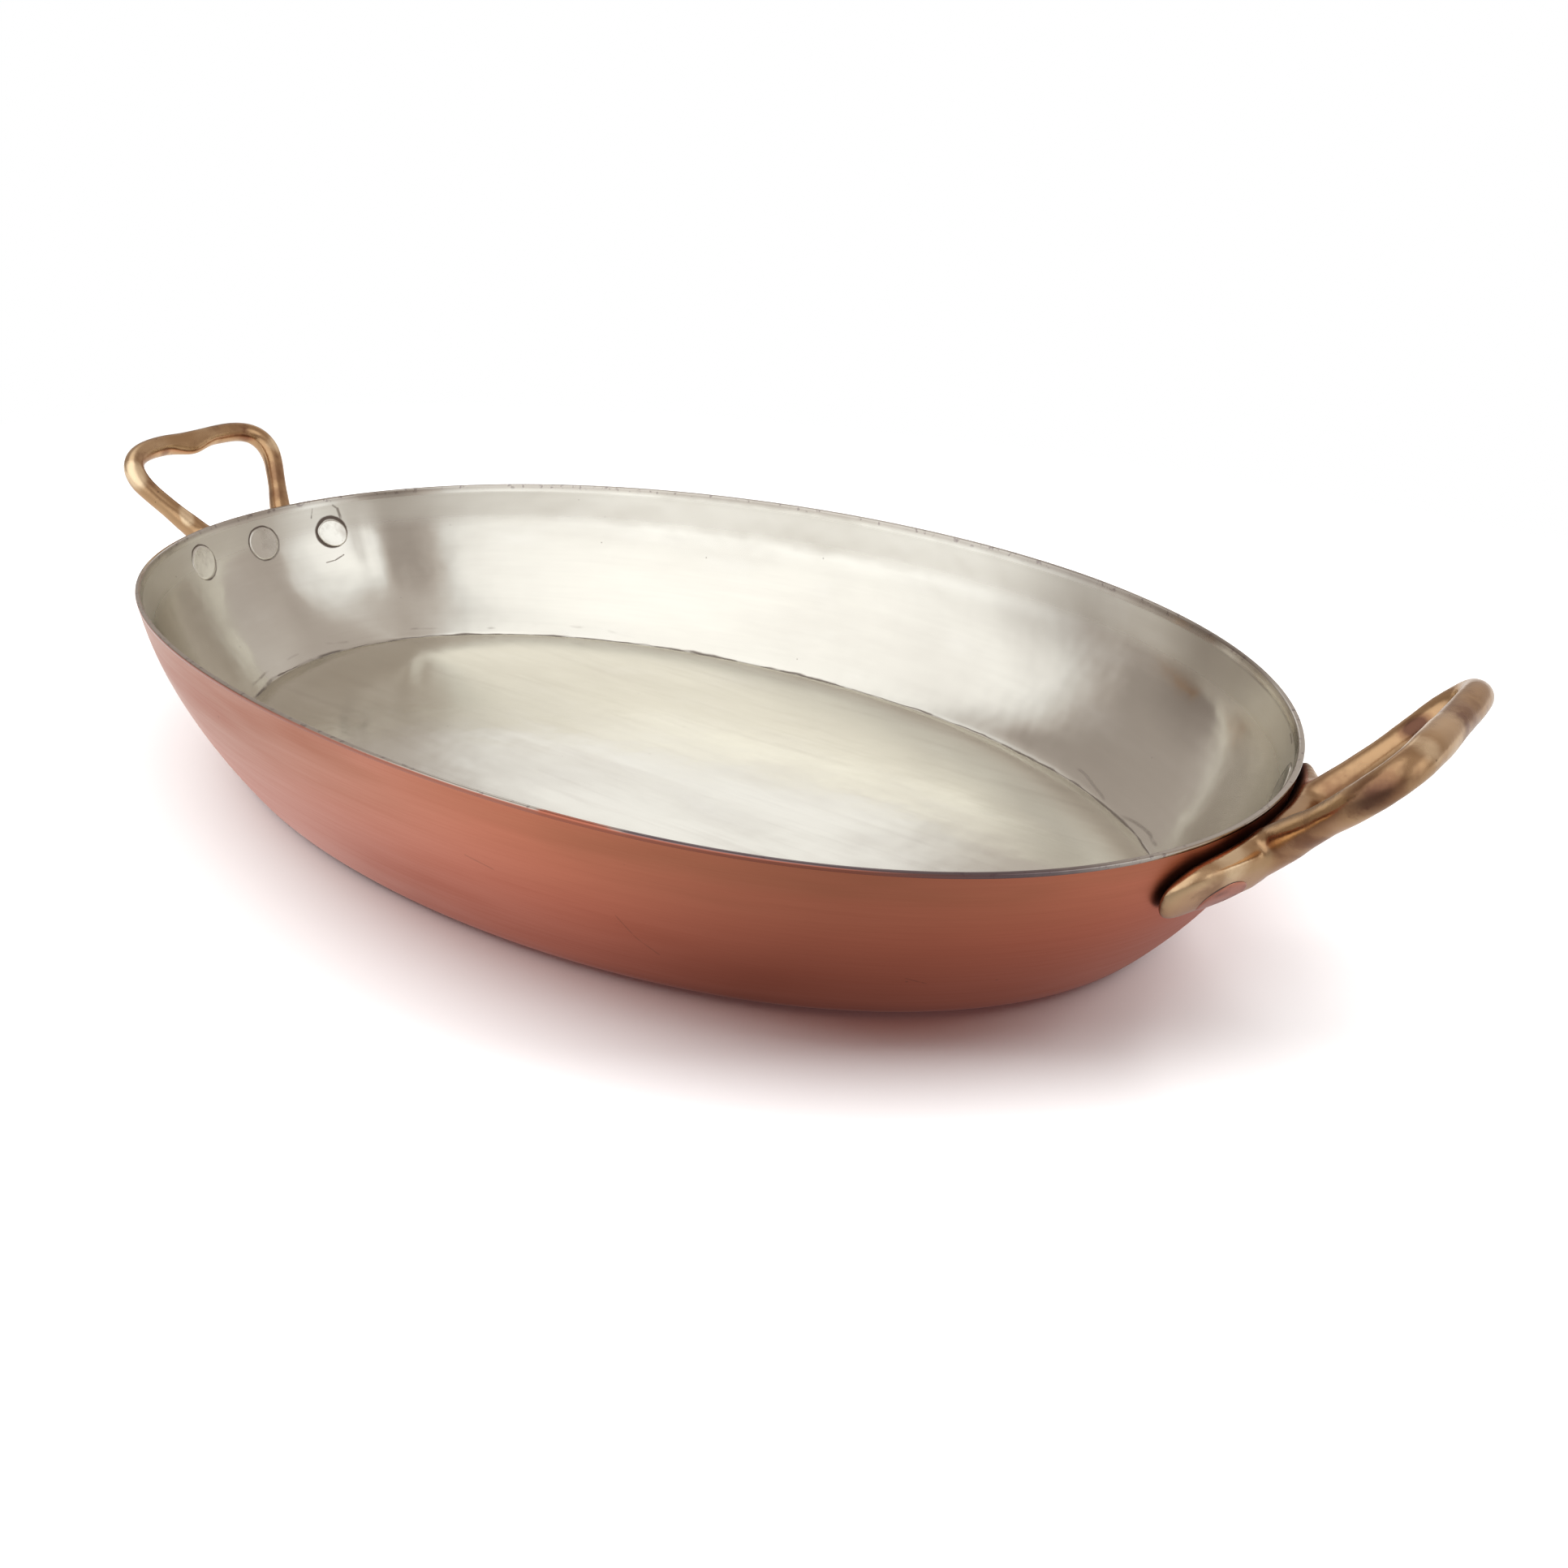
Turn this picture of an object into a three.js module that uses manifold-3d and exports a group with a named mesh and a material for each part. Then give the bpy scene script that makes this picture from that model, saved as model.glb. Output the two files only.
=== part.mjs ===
// Oval copper gratin pan, tinned inside, with two cast brass handles held by copper rivets.
// Millimetres, +Z up. The origin is the middle of the flat base, and X runs along the pan.

import * as THREE from 'three'
import { mergeVertices } from 'three/addons/utils/BufferGeometryUtils.js'
import Module from 'manifold-3d'

const wasm = await Module()
wasm.setup()

// Pan body: the outside of the copper
const RIM_LENGTH = 350
const RIM_WIDTH = 215
const BASE_LENGTH = 301
const BASE_WIDTH = 176.6
const PAN_HEIGHT = 49.4
const FOOT_RADIUS = 3

// Hand-raised form: how far the wall bows out, how square the oval is, and how much fuller
// its +X end is than its -X end, at the rim and at the base
const WALL_BOW = 0.19
const RIM_SQUARENESS = 0.082
const BASE_SQUARENESS = 0.046
const RIM_FULLNESS = 0.07
const BASE_FULLNESS = 0.03
const RIM_END_DROP = 2.4
const RIM_END_TILT = 0.4

// Thicknesses, from the outside in
const COPPER_SHEET = 1.3
const LINING_GAP = 0.12
const TIN_LINING = 0.3
const CORNER_FILL = 1.5
const CORNER_FILL_HEIGHT = 10

// Rivets: three at each end, with flush heads inside and peened heads outside
const RIM_TO_RIVETS = 12.4
const RIVET_HEIGHT = PAN_HEIGHT - RIM_TO_RIVETS
const RIVET_PITCH = 25.8
const RIVET_SHANK = 6
const INNER_HEAD = 12.4
const INNER_HEAD_RISE = 0.2
const OUTER_HEAD = 9.4
const OUTER_HEAD_DEPTH = 1.5
const OUTER_HEAD_RISE = 0.2
const CLEARANCE = 0.3

// Handle plate, curved to the wall
const PLATE_LENGTH = 80
const PLATE_HEIGHT = 17.6
const PLATE_THICKNESS = 4.5
const PLATE_EASING = [
  { out: 0, drop: 0 },
  { out: 0.45, drop: 0 },
  { out: 0.75, drop: 0.15 },
  { out: 0.92, drop: 0.9 },
  { out: 1, drop: 2 },
]

// Handle loop, in its own leaning plane
const LOOP_REACH = 39.4
const LOOP_ROOT_WIDTH = 26
const LOOP_TIP_WIDTH = 62.2
const LOOP_CORNER = 19.5
const LOOP_LEAN = 49
const BAR_WIDTH = 6.2
const BAR_DEPTH = 7.2
const BAR_ROOT_SWELL = 0.45
const BAR_ROOT_SWELL_LENGTH = 6
const GRIP_NUB_HEIGHT = 2.2
const GRIP_NUB_LENGTH = 19
const LEFT_ROOT_ABOVE_RIVETS = 2
const RIGHT_ROOT_ABOVE_RIVETS = 6
const HANDLES = [
  { name: 'left', end: -1, rootHeight: RIVET_HEIGHT + LEFT_ROOT_ABOVE_RIVETS },
  { name: 'right', end: 1, rootHeight: RIVET_HEIGHT + RIGHT_ROOT_ABOVE_RIVETS },
]

// Facet counts, and where the rows of facets lie up the foot and up the wall above it
const OVAL_STEPS = 72
const FOOT_SHARES = [0, 0.27]
const WALL_SHARES = [0, 0.13, 0.3, 0.52, 0.75]
const PLATE_STRAIGHT_STEPS = 12
const PLATE_END_STEPS = 6
const BAR_STEPS = 38
const BAR_SIDES = 10
const RIVET_SIDES = 16

const RIM_SHARE = 1
const FLOOR_INSIDE = COPPER_SHEET + LINING_GAP + TIN_LINING

// A value between its size at the base and its size at the rim
const between = (base, rim, share) => base + (rim - base) * share

const FOOT_ROWS = FOOT_SHARES.map((share) => share * FOOT_RADIUS)
const WALL_ROWS = WALL_SHARES.map((share) => between(FOOT_RADIUS, PAN_HEIGHT, share))

// A point of the outer wall: angle round the oval from +X, and share of the pan's height
function wallPoint(angle, share) {
  const spread = share + 4 * WALL_BOW * share * (1 - share)
  const halfLength = between(BASE_LENGTH, RIM_LENGTH, spread) / 2
  const halfWidth = between(BASE_WIDTH, RIM_WIDTH, spread) / 2
  const squareness = between(BASE_SQUARENESS, RIM_SQUARENESS, share)
  const fullness = between(BASE_FULLNESS, RIM_FULLNESS, share)
  const along = Math.cos(angle)
  const across = Math.sin(angle)
  const footShare = FOOT_RADIUS / PAN_HEIGHT
  const lift = Math.max(0, share - footShare) / (RIM_SHARE - footShare)
  return new THREE.Vector3(
    halfLength * along,
    halfWidth * across * (1 + squareness * along * along + fullness * along),
    share * PAN_HEIGHT - lift * (RIM_END_DROP * Math.cos(2 * angle) + RIM_END_TILT * along),
  )
}

// The wall's outward normal there
function wallNormal(angle, share) {
  const step = 1e-4
  const around = wallPoint(angle + step, share).sub(wallPoint(angle - step, share))
  const upward = wallPoint(angle, share + step).sub(wallPoint(angle, share - step))
  return around.cross(upward).normalize()
}

// The wall's point and normal at one end of the pan, found by its place across and its height
function wallAt(end, across, height) {
  let angle = end > 0 ? 0 : Math.PI
  let share = height / PAN_HEIGHT
  for (let pass = 0; pass < 40; pass++) {
    const found = wallPoint(angle, share)
    angle += (end * (across - found.y)) / (RIM_WIDTH / 2)
    share += (height - found.z) / PAN_HEIGHT
  }
  return { point: wallPoint(angle, share), normal: wallNormal(angle, share) }
}

// A point off the wall by some distance, along the wall's normal
function offWall(end, across, height, distance) {
  const { point, normal } = wallAt(end, across, height)
  return point.addScaledVector(normal, distance)
}

// A level ring at one height, off the wall by some distance and then drawn in
function wallRing(height, distance, inset = 0) {
  const share = height / PAN_HEIGHT
  const ring = []
  for (let step = 0; step < OVAL_STEPS; step++) {
    const angle = (2 * Math.PI * step) / OVAL_STEPS
    const normal = wallNormal(angle, share)
    const level = Math.hypot(normal.x, normal.y)
    const outward = new THREE.Vector3(normal.x / level, normal.y / level, 0)
    ring.push(wallPoint(angle, share).addScaledVector(outward, distance / level - inset))
  }
  return ring
}

// Rings joined in turn into one closed skin, with a point at both ends
function skinOf(rings, firstPoint, lastPoint) {
  const points = [firstPoint, ...rings.flat(), lastPoint]
  const count = rings[0].length
  const last = points.length - 1
  const at = (ring, step) => 1 + ring * count + (step % count)
  const index = []
  for (let step = 0; step < count; step++) {
    index.push(0, at(0, step + 1), at(0, step))
    for (let ring = 0; ring < rings.length - 1; ring++) {
      index.push(at(ring, step), at(ring, step + 1), at(ring + 1, step + 1))
      index.push(at(ring, step), at(ring + 1, step + 1), at(ring + 1, step))
    }
    index.push(last, at(rings.length - 1, step), at(rings.length - 1, step + 1))
  }
  const geometry = new THREE.BufferGeometry().setFromPoints(points)
  geometry.setIndex(index)
  return geometry
}

// A closed geometry as a solid that can be cut and joined
function solidOf(geometry) {
  const plain = geometry.clone()
  plain.deleteAttribute('normal')
  plain.deleteAttribute('uv')
  const merged = mergeVertices(plain, 1e-4)
  const corners = Array.from(merged.index.array)
  const kept = []
  for (let i = 0; i < corners.length; i += 3) {
    const [a, b, c] = corners.slice(i, i + 3)
    if (a !== b && b !== c && c !== a) kept.push(a, b, c)
  }
  const vertProperties = Float32Array.from(merged.attributes.position.array)
  return new wasm.Manifold(new wasm.Mesh({ numProp: 3, vertProperties, triVerts: Uint32Array.from(kept) }))
}

// A finished solid as a named mesh with its own material
function meshOf(name, solid, color, roughness) {
  const { vertProperties, triVerts } = solid.getMesh()
  const geometry = new THREE.BufferGeometry()
  geometry.setAttribute('position', new THREE.BufferAttribute(vertProperties, 3))
  geometry.setIndex(new THREE.BufferAttribute(triVerts, 1))
  geometry.computeVertexNormals()
  const material = new THREE.MeshStandardMaterial({ color, roughness, metalness: 1 })
  const mesh = new THREE.Mesh(geometry, material)
  mesh.name = name
  return mesh
}

// The pan's outside, swollen or shrunk by some distance and closed by a lid at the rim
function blank(distance) {
  const feet = FOOT_ROWS.map((height) => wallRing(height, distance, footInset(height)))
  const walls = [...WALL_ROWS, PAN_HEIGHT].map((height) => wallRing(height, distance))
  return solidOf(skinOf([...feet, ...walls], new THREE.Vector3(), new THREE.Vector3(0, 0, PAN_HEIGHT)))
}

// How far the rounded foot draws in at a height
function footInset(height) {
  return FOOT_RADIUS - Math.sqrt(FOOT_RADIUS ** 2 - (FOOT_RADIUS - height) ** 2)
}

// How far the corner between wall and floor is filled inside, at a height
function cornerFill(height) {
  return CORNER_FILL * Math.max(0, 1 - height / CORNER_FILL_HEIGHT) ** 2
}

// A wall face on the inside, from its floor up to the rim
function insideRings(depth, floor) {
  const heights = [floor, ...WALL_ROWS, PAN_HEIGHT]
  return heights.map((height) => wallRing(height, -depth, cornerFill(height)))
}

// A round bar along a rivet's axis, between two distances off the wall
function rivetBar(end, across, diameter, from, to) {
  const { point, normal } = wallAt(end, across, RIVET_HEIGHT)
  const bar = new THREE.CylinderGeometry(diameter / 2, diameter / 2, to - from, RIVET_SIDES)
  bar.applyQuaternion(new THREE.Quaternion().setFromUnitVectors(new THREE.Vector3(0, 1, 0), normal))
  const middle = point.addScaledVector(normal, (from + to) / 2)
  bar.translate(middle.x, middle.y, middle.z)
  return solidOf(bar)
}

// Where the rivets of each end sit
const RIVET_PLACES = [
  { name: 'near', across: -RIVET_PITCH },
  { name: 'middle', across: 0 },
  { name: 'far', across: RIVET_PITCH },
]
const PLATE_FACE = CLEARANCE + PLATE_THICKNESS
const HOLE_REACH = 8

// Cuts one hole for each rivet of both ends
function withRivetHoles(solid, diameter) {
  let cut = solid
  for (const { end } of HANDLES) {
    for (const { across } of RIVET_PLACES) {
      cut = cut.subtract(rivetBar(end, across, diameter, -HOLE_REACH, HOLE_REACH))
    }
  }
  return cut
}

// The copper body: outside, level rim edge and inside, with its rivet holes
function panShell() {
  const feet = FOOT_ROWS.map((height) => wallRing(height, 0, footInset(height)))
  const outside = [...WALL_ROWS, PAN_HEIGHT].map((height) => wallRing(height, 0))
  const inside = insideRings(COPPER_SHEET, COPPER_SHEET).reverse()
  const floorMiddle = new THREE.Vector3(0, 0, COPPER_SHEET)
  const skin = skinOf([...feet, ...outside, ...inside], new THREE.Vector3(), floorMiddle)
  return withRivetHoles(solidOf(skin), RIVET_SHANK + 2 * CLEARANCE)
}

// The tin coat on the floor and the wall, open round each inner rivet head
function tinLining() {
  const back = COPPER_SHEET + LINING_GAP
  const outside = insideRings(back, back)
  const inside = insideRings(FLOOR_INSIDE, FLOOR_INSIDE).reverse()
  const underMiddle = new THREE.Vector3(0, 0, back)
  const floorMiddle = new THREE.Vector3(0, 0, FLOOR_INSIDE)
  const skin = skinOf([...outside, ...inside], underMiddle, floorMiddle)
  return withRivetHoles(solidOf(skin), INNER_HEAD + 2 * CLEARANCE)
}

// A rivet: inner head curved with the wall, shank, and outer head sunk in the plate
function rivet(end, across) {
  const headBack = COPPER_SHEET + LINING_GAP
  const headFace = FLOOR_INSIDE + INNER_HEAD_RISE
  const band = blank(-headBack).subtract(blank(-headFace))
  const innerHead = rivetBar(end, across, INNER_HEAD, -HOLE_REACH, HOLE_REACH).intersect(band)
  const outerHeadBack = PLATE_FACE - OUTER_HEAD_DEPTH
  const shank = rivetBar(end, across, RIVET_SHANK, -FLOOR_INSIDE, outerHeadBack)
  const outerHead = rivetBar(end, across, OUTER_HEAD, outerHeadBack, PLATE_FACE + OUTER_HEAD_RISE)
  return innerHead.add(shank).add(outerHead)
}

// The plate: round-ended, thick in the middle and eased at its edges, sunk through the wall
// so that the cut for its seat gives its back
function plateBlank(end) {
  const round = PLATE_HEIGHT / 2
  const straight = PLATE_LENGTH / 2 - round
  const outline = []
  for (let side = 1; side >= -1; side -= 2) {
    for (let step = 0; step < PLATE_STRAIGHT_STEPS; step++) {
      const along = side * straight * (1 - (2 * step) / PLATE_STRAIGHT_STEPS)
      outline.push({ along, turn: (side * Math.PI) / 2 })
    }
    const firstTurn = side > 0 ? Math.PI / 2 : (3 * Math.PI) / 2
    for (let step = 0; step < PLATE_END_STEPS; step++) {
      outline.push({ along: -side * straight, turn: firstTurn + (Math.PI * step) / PLATE_END_STEPS })
    }
  }
  if (end > 0) outline.reverse()
  const faceRows = PLATE_EASING.map(({ out, drop }) => ({ out, distance: PLATE_FACE - drop }))
  const backRows = [1, 0.5, 0].map((out) => ({ out, distance: -COPPER_SHEET }))
  const rings = [...faceRows, ...backRows].map(({ out, distance }) =>
    outline.map(({ along, turn }) => {
      const across = along + out * round * Math.cos(turn)
      return offWall(end, across, RIVET_HEIGHT + out * round * Math.sin(turn), distance)
    }),
  )
  const skin = skinOf(rings, rings[0][0], rings[rings.length - 1][0])
  return solidOf(skin)
}

// The loop's centre line in its own plane: x is the reach from the plate, y is across
function loopLine() {
  const root = LOOP_ROOT_WIDTH / 2
  const tip = LOOP_TIP_WIDTH / 2
  const leg = new THREE.Vector2(LOOP_REACH, tip - root)
  const sink = -PLATE_THICKNESS / 2
  const turn = leg.clone().setLength(leg.length() - LOOP_CORNER)
  const line = new THREE.Path()
  line.moveTo(sink, -root - (sink * leg.y) / leg.x)
  line.lineTo(turn.x, -root - turn.y)
  line.quadraticCurveTo(LOOP_REACH, -tip, LOOP_REACH, -tip + LOOP_CORNER)
  line.lineTo(LOOP_REACH, tip - LOOP_CORNER)
  line.quadraticCurveTo(LOOP_REACH, tip, turn.x, root + turn.y)
  line.lineTo(sink, root + (sink * leg.y) / leg.x)
  return line
}

// The loop: an oval bar along that line, swollen at its roots, with a nub inside the grip
function loopBar({ end, rootHeight }) {
  const lean = THREE.MathUtils.degToRad(LOOP_LEAN)
  const outward = new THREE.Vector3(end * Math.cos(lean), 0, Math.sin(lean))
  const sideways = new THREE.Vector3(0, 1, 0)
  const square = new THREE.Vector3(-end * Math.sin(lean), 0, Math.cos(lean))
  const start = offWall(end, 0, rootHeight, PLATE_FACE)
  const line = loopLine()
  const length = line.getLength()
  const place = (x, y) => start.clone().addScaledVector(outward, x).addScaledVector(sideways, y)
  const rings = []
  const ends = []
  for (let step = 0; step <= BAR_STEPS; step++) {
    const share = step / BAR_STEPS
    const { x, y } = line.getPointAt(share)
    const ahead = line.getTangentAt(share)
    const fromRoot = Math.min(share, 1 - share) * length
    const swell = 1 + BAR_ROOT_SWELL * Math.exp(-((fromRoot / BAR_ROOT_SWELL_LENGTH) ** 2))
    const nubShare = Math.max(0, 1 - (2 * Math.abs(y)) / GRIP_NUB_LENGTH)
    const outer = (swell * BAR_WIDTH) / 2
    const inner = outer + (x > LOOP_REACH / 2 ? GRIP_NUB_HEIGHT * nubShare : 0)
    const ring = []
    for (let side = 0; side < BAR_SIDES; side++) {
      const turn = (2 * Math.PI * side) / BAR_SIDES
      const out = Math.cos(turn) * (Math.cos(turn) > 0 ? outer : inner)
      const up = (Math.sin(turn) * swell * BAR_DEPTH) / 2
      ring.push(place(x + out * ahead.y, y - out * ahead.x).addScaledVector(square, up))
    }
    rings.push(end > 0 ? ring.reverse() : ring)
    ends.push(place(x, y))
  }
  return solidOf(skinOf(rings, ends[0], ends[ends.length - 1]))
}

// A handle: plate and loop as one casting, cut to seat on the wall and bored for its rivets
function handle(placing) {
  const { end } = placing
  let solid = plateBlank(end).add(loopBar(placing)).subtract(blank(CLEARANCE))
  for (const { across } of RIVET_PLACES) {
    const recessBack = PLATE_FACE - OUTER_HEAD_DEPTH - CLEARANCE
    const shankHole = rivetBar(end, across, RIVET_SHANK + 2 * CLEARANCE, -HOLE_REACH, HOLE_REACH)
    const recess = rivetBar(end, across, OUTER_HEAD + 2 * CLEARANCE, recessBack, HOLE_REACH)
    solid = solid.subtract(shankHole).subtract(recess)
  }
  return solid
}

const COPPER = 0xb5694a
const RIVET_COPPER = 0xb87058
const TIN = 0xb9b3a6
const BRASS = 0xb08348

const pan = new THREE.Group()
pan.add(meshOf('pan_shell', panShell(), COPPER, 0.35))
pan.add(meshOf('tin_lining', tinLining(), TIN, 0.35))
for (const placing of HANDLES) {
  const fittings = new THREE.Group()
  fittings.add(meshOf(`handle_${placing.name}`, handle(placing), BRASS, 0.4))
  for (const { name, across } of RIVET_PLACES) {
    fittings.add(meshOf(`rivet_${placing.name}_${name}`, rivet(placing.end, across), RIVET_COPPER, 0.4))
  }
  pan.add(fittings)
}

export default pan
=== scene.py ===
"""Looks of the oval copper gratin pan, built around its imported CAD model.

Sizes are in metres, in the part's own frame: X runs along the pan, Z is up, and the middle of
the flat base is the origin. The pan's form follows the same values as the part's source.
"""

import logging
import math
from collections.abc import Sequence
from dataclasses import dataclass, field
from enum import Enum
from functools import cached_property

import bpy
import numpy as np
from mathutils import Matrix, Vector


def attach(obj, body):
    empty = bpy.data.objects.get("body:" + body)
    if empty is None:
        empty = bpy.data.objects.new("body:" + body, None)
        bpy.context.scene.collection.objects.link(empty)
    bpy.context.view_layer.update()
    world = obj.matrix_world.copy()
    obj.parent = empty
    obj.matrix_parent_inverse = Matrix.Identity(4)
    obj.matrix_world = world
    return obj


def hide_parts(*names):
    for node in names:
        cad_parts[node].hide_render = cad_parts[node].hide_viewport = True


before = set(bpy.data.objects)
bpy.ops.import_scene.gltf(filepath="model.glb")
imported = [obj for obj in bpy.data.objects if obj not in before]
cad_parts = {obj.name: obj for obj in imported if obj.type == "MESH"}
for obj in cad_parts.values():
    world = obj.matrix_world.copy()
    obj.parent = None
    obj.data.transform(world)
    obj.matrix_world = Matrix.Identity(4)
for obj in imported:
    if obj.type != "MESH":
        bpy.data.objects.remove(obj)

MM = 0.001
LOG = logging.getLogger("copper_pan")

ACROSS = np.array([0.0, 1.0, 0.0])

Array = np.ndarray
Piece = bpy.types.Object
Material = bpy.types.Material
Tree = bpy.types.NodeTree
Node = bpy.types.Node
Socket = bpy.types.NodeSocket
Colour = tuple[float, float, float]
Point = tuple[float, float, float]
# A scratch: the angle in degrees and the height in mm of both its ends, and its width in mm.
Line = tuple[tuple[float, float], tuple[float, float], float]
# Azimuths in degrees and the brightness there.
Row = tuple[tuple[float, float], ...]
# Patches on a handle: reach, across, rise off the loop's plane and size in mm, and strength up to 1.
Patches = tuple[tuple[float, ...], ...]


class End(Enum):
    """The two ends of the pan along X."""

    LEFT = -1
    RIGHT = 1


class Side(Enum):
    """The places of the three rivets along a handle's plate."""

    NEAR = -1
    MIDDLE = 0
    FAR = 1


class Ray(Enum):
    """What light is traced for."""

    CAMERA = "Camera"
    GLOSSY = "Glossy"
    TRANSMISSION = "Transmission"


class Slot(Enum):
    """The record's material slots."""

    COPPER = "copper"
    TIN = "tin"
    BRASS = "brass"
    RIVET = "rivet_copper"


# Selecting, shaping and dressing meshes


def clear_selection() -> None:
    """Leaves edit mode and deselects every object."""
    if bpy.context.mode != "OBJECT":
        bpy.ops.object.mode_set(mode="OBJECT")
    bpy.ops.object.select_all(action="DESELECT")


def hold(piece: Piece) -> None:
    """Selects one piece alone and makes it the active one.

    Args:
        piece: The piece to work on.
    """
    clear_selection()
    piece.select_set(True)
    bpy.context.view_layer.objects.active = piece


def places_of(piece: Piece) -> Array:
    """Reads the places of a piece's vertices.

    Args:
        piece: A mesh piece.

    Returns:
        One row of three coordinates for each vertex.
    """
    flat = np.empty(len(piece.data.vertices) * 3)
    piece.data.vertices.foreach_get("co", flat)
    return flat.reshape(-1, 3)


def set_places(piece: Piece, places: Array) -> None:
    """Moves every vertex of a piece to its row of three coordinates."""
    piece.data.vertices.foreach_set("co", np.ascontiguousarray(places, dtype=float).ravel())
    piece.data.update()


def paint(piece: Piece, name: str, values: Array) -> None:
    """Stores a value or a vector on every vertex for the piece's material.

    Args:
        piece: A mesh piece.
        name: The attribute's name.
        values: One value, or one row of three, for each vertex.
    """
    if values.ndim == 1:
        piece.data.attributes.new(name, "FLOAT", "POINT").data.foreach_set("value", values)
    else:
        layer = piece.data.attributes.new(name, "FLOAT_VECTOR", "POINT")
        layer.data.foreach_set("vector", np.ascontiguousarray(values, dtype=float).ravel())


def face_outwards(piece: Piece) -> None:
    """Turns every face of a closed piece outwards.

    Args:
        piece: A closed mesh piece.
    """
    hold(piece)
    bpy.ops.object.mode_set(mode="EDIT")
    bpy.ops.mesh.select_all(action="SELECT")
    bpy.ops.mesh.normals_make_consistent(inside=False)
    bpy.ops.object.mode_set(mode="OBJECT")


def smooth(piece: Piece, degrees: float = 50.0) -> None:
    """Shades a piece smooth, except where it turns by more than an angle."""
    hold(piece)
    bpy.ops.object.shade_smooth_by_angle(angle=math.radians(degrees))


def settle(piece: Piece, modifier: bpy.types.Modifier) -> None:
    """Applies one modifier of a piece."""
    hold(piece)
    bpy.ops.object.modifier_apply(modifier=modifier.name)


def dress(piece: Piece, slot: Slot, material: Material, *nodes: str) -> None:
    """Gives a finished piece its material and its body, and hides the CAD nodes that it replaces.

    Args:
        piece: A finished mesh piece, with its place in its mesh.
        slot: Not used.
        material: Its material.
        nodes: The CAD nodes that it replaces.
    """
    piece.data.materials.clear()
    piece.data.materials.append(material)
    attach(piece, "root")
    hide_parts(*nodes)
    LOG.info("%s: %d faces, stands for %s", piece.name, len(piece.data.polygons), ", ".join(nodes))


def part_way(first: float, last: float, share: Array) -> Array:
    """Values part of the way from one to another."""
    return first + (last - first) * share


@dataclass
class Sleeve:
    """A closed tube of level rings, raised by extruding a circle, and then given its form.

    Attributes:
        name: The piece's name.
        around: Vertices in each ring.
        rows: Rings from the first pole to the last.
    """

    name: str
    around: int
    rows: int
    piece: Piece = field(init=False)
    turn: Array = field(init=False)
    row: Array = field(init=False)
    pole: Array = field(init=False)

    def __post_init__(self) -> None:
        """Raises the rings, closes both poles and notes each vertex's turn and row."""
        clear_selection()
        bpy.ops.mesh.primitive_circle_add(vertices=self.around, radius=1.0, fill_type="NOTHING")
        self.piece = bpy.context.active_object
        self.piece.name = self.piece.data.name = self.name
        bpy.ops.object.mode_set(mode="EDIT")
        bpy.ops.mesh.select_all(action="SELECT")
        for _ in range(self.rows - 1):
            bpy.ops.mesh.extrude_region_move(TRANSFORM_OT_translate={"value": (0.0, 0.0, 1.0)})
        self.close()
        bpy.ops.mesh.select_all(action="DESELECT")
        bpy.ops.object.mode_set(mode="OBJECT")
        for vertex in self.piece.data.vertices:
            vertex.select = vertex.co.z < 0.5
        bpy.ops.object.mode_set(mode="EDIT")
        self.close()
        bpy.ops.object.mode_set(mode="OBJECT")
        places = places_of(self.piece)
        step = 2 * math.pi / self.around
        self.turn = np.round(np.arctan2(places[:, 1], places[:, 0]) / step) * step
        self.row = np.round(places[:, 2]).astype(int)
        self.pole = np.hypot(places[:, 0], places[:, 1]) < 0.5

    def close(self) -> None:
        """Fills the selected ring and gives the fill a middle point."""
        bpy.ops.mesh.edge_face_add()
        bpy.ops.mesh.poke()

    def shape(self, places: Array, *poles: Sequence[float]) -> Piece:
        """Moves the rings to their form and faces them outwards.

        Args:
            places: The place of every vertex.
            poles: Other places for the first and the last pole, or none.

        Returns:
            The shaped piece.
        """
        places = places.copy()
        for place, row in zip(poles, (0, self.row.max())):
            places[self.pole & (self.row == row)] = place
        set_places(self.piece, places)
        face_outwards(self.piece)
        return self.piece


# The pan's form


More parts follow.
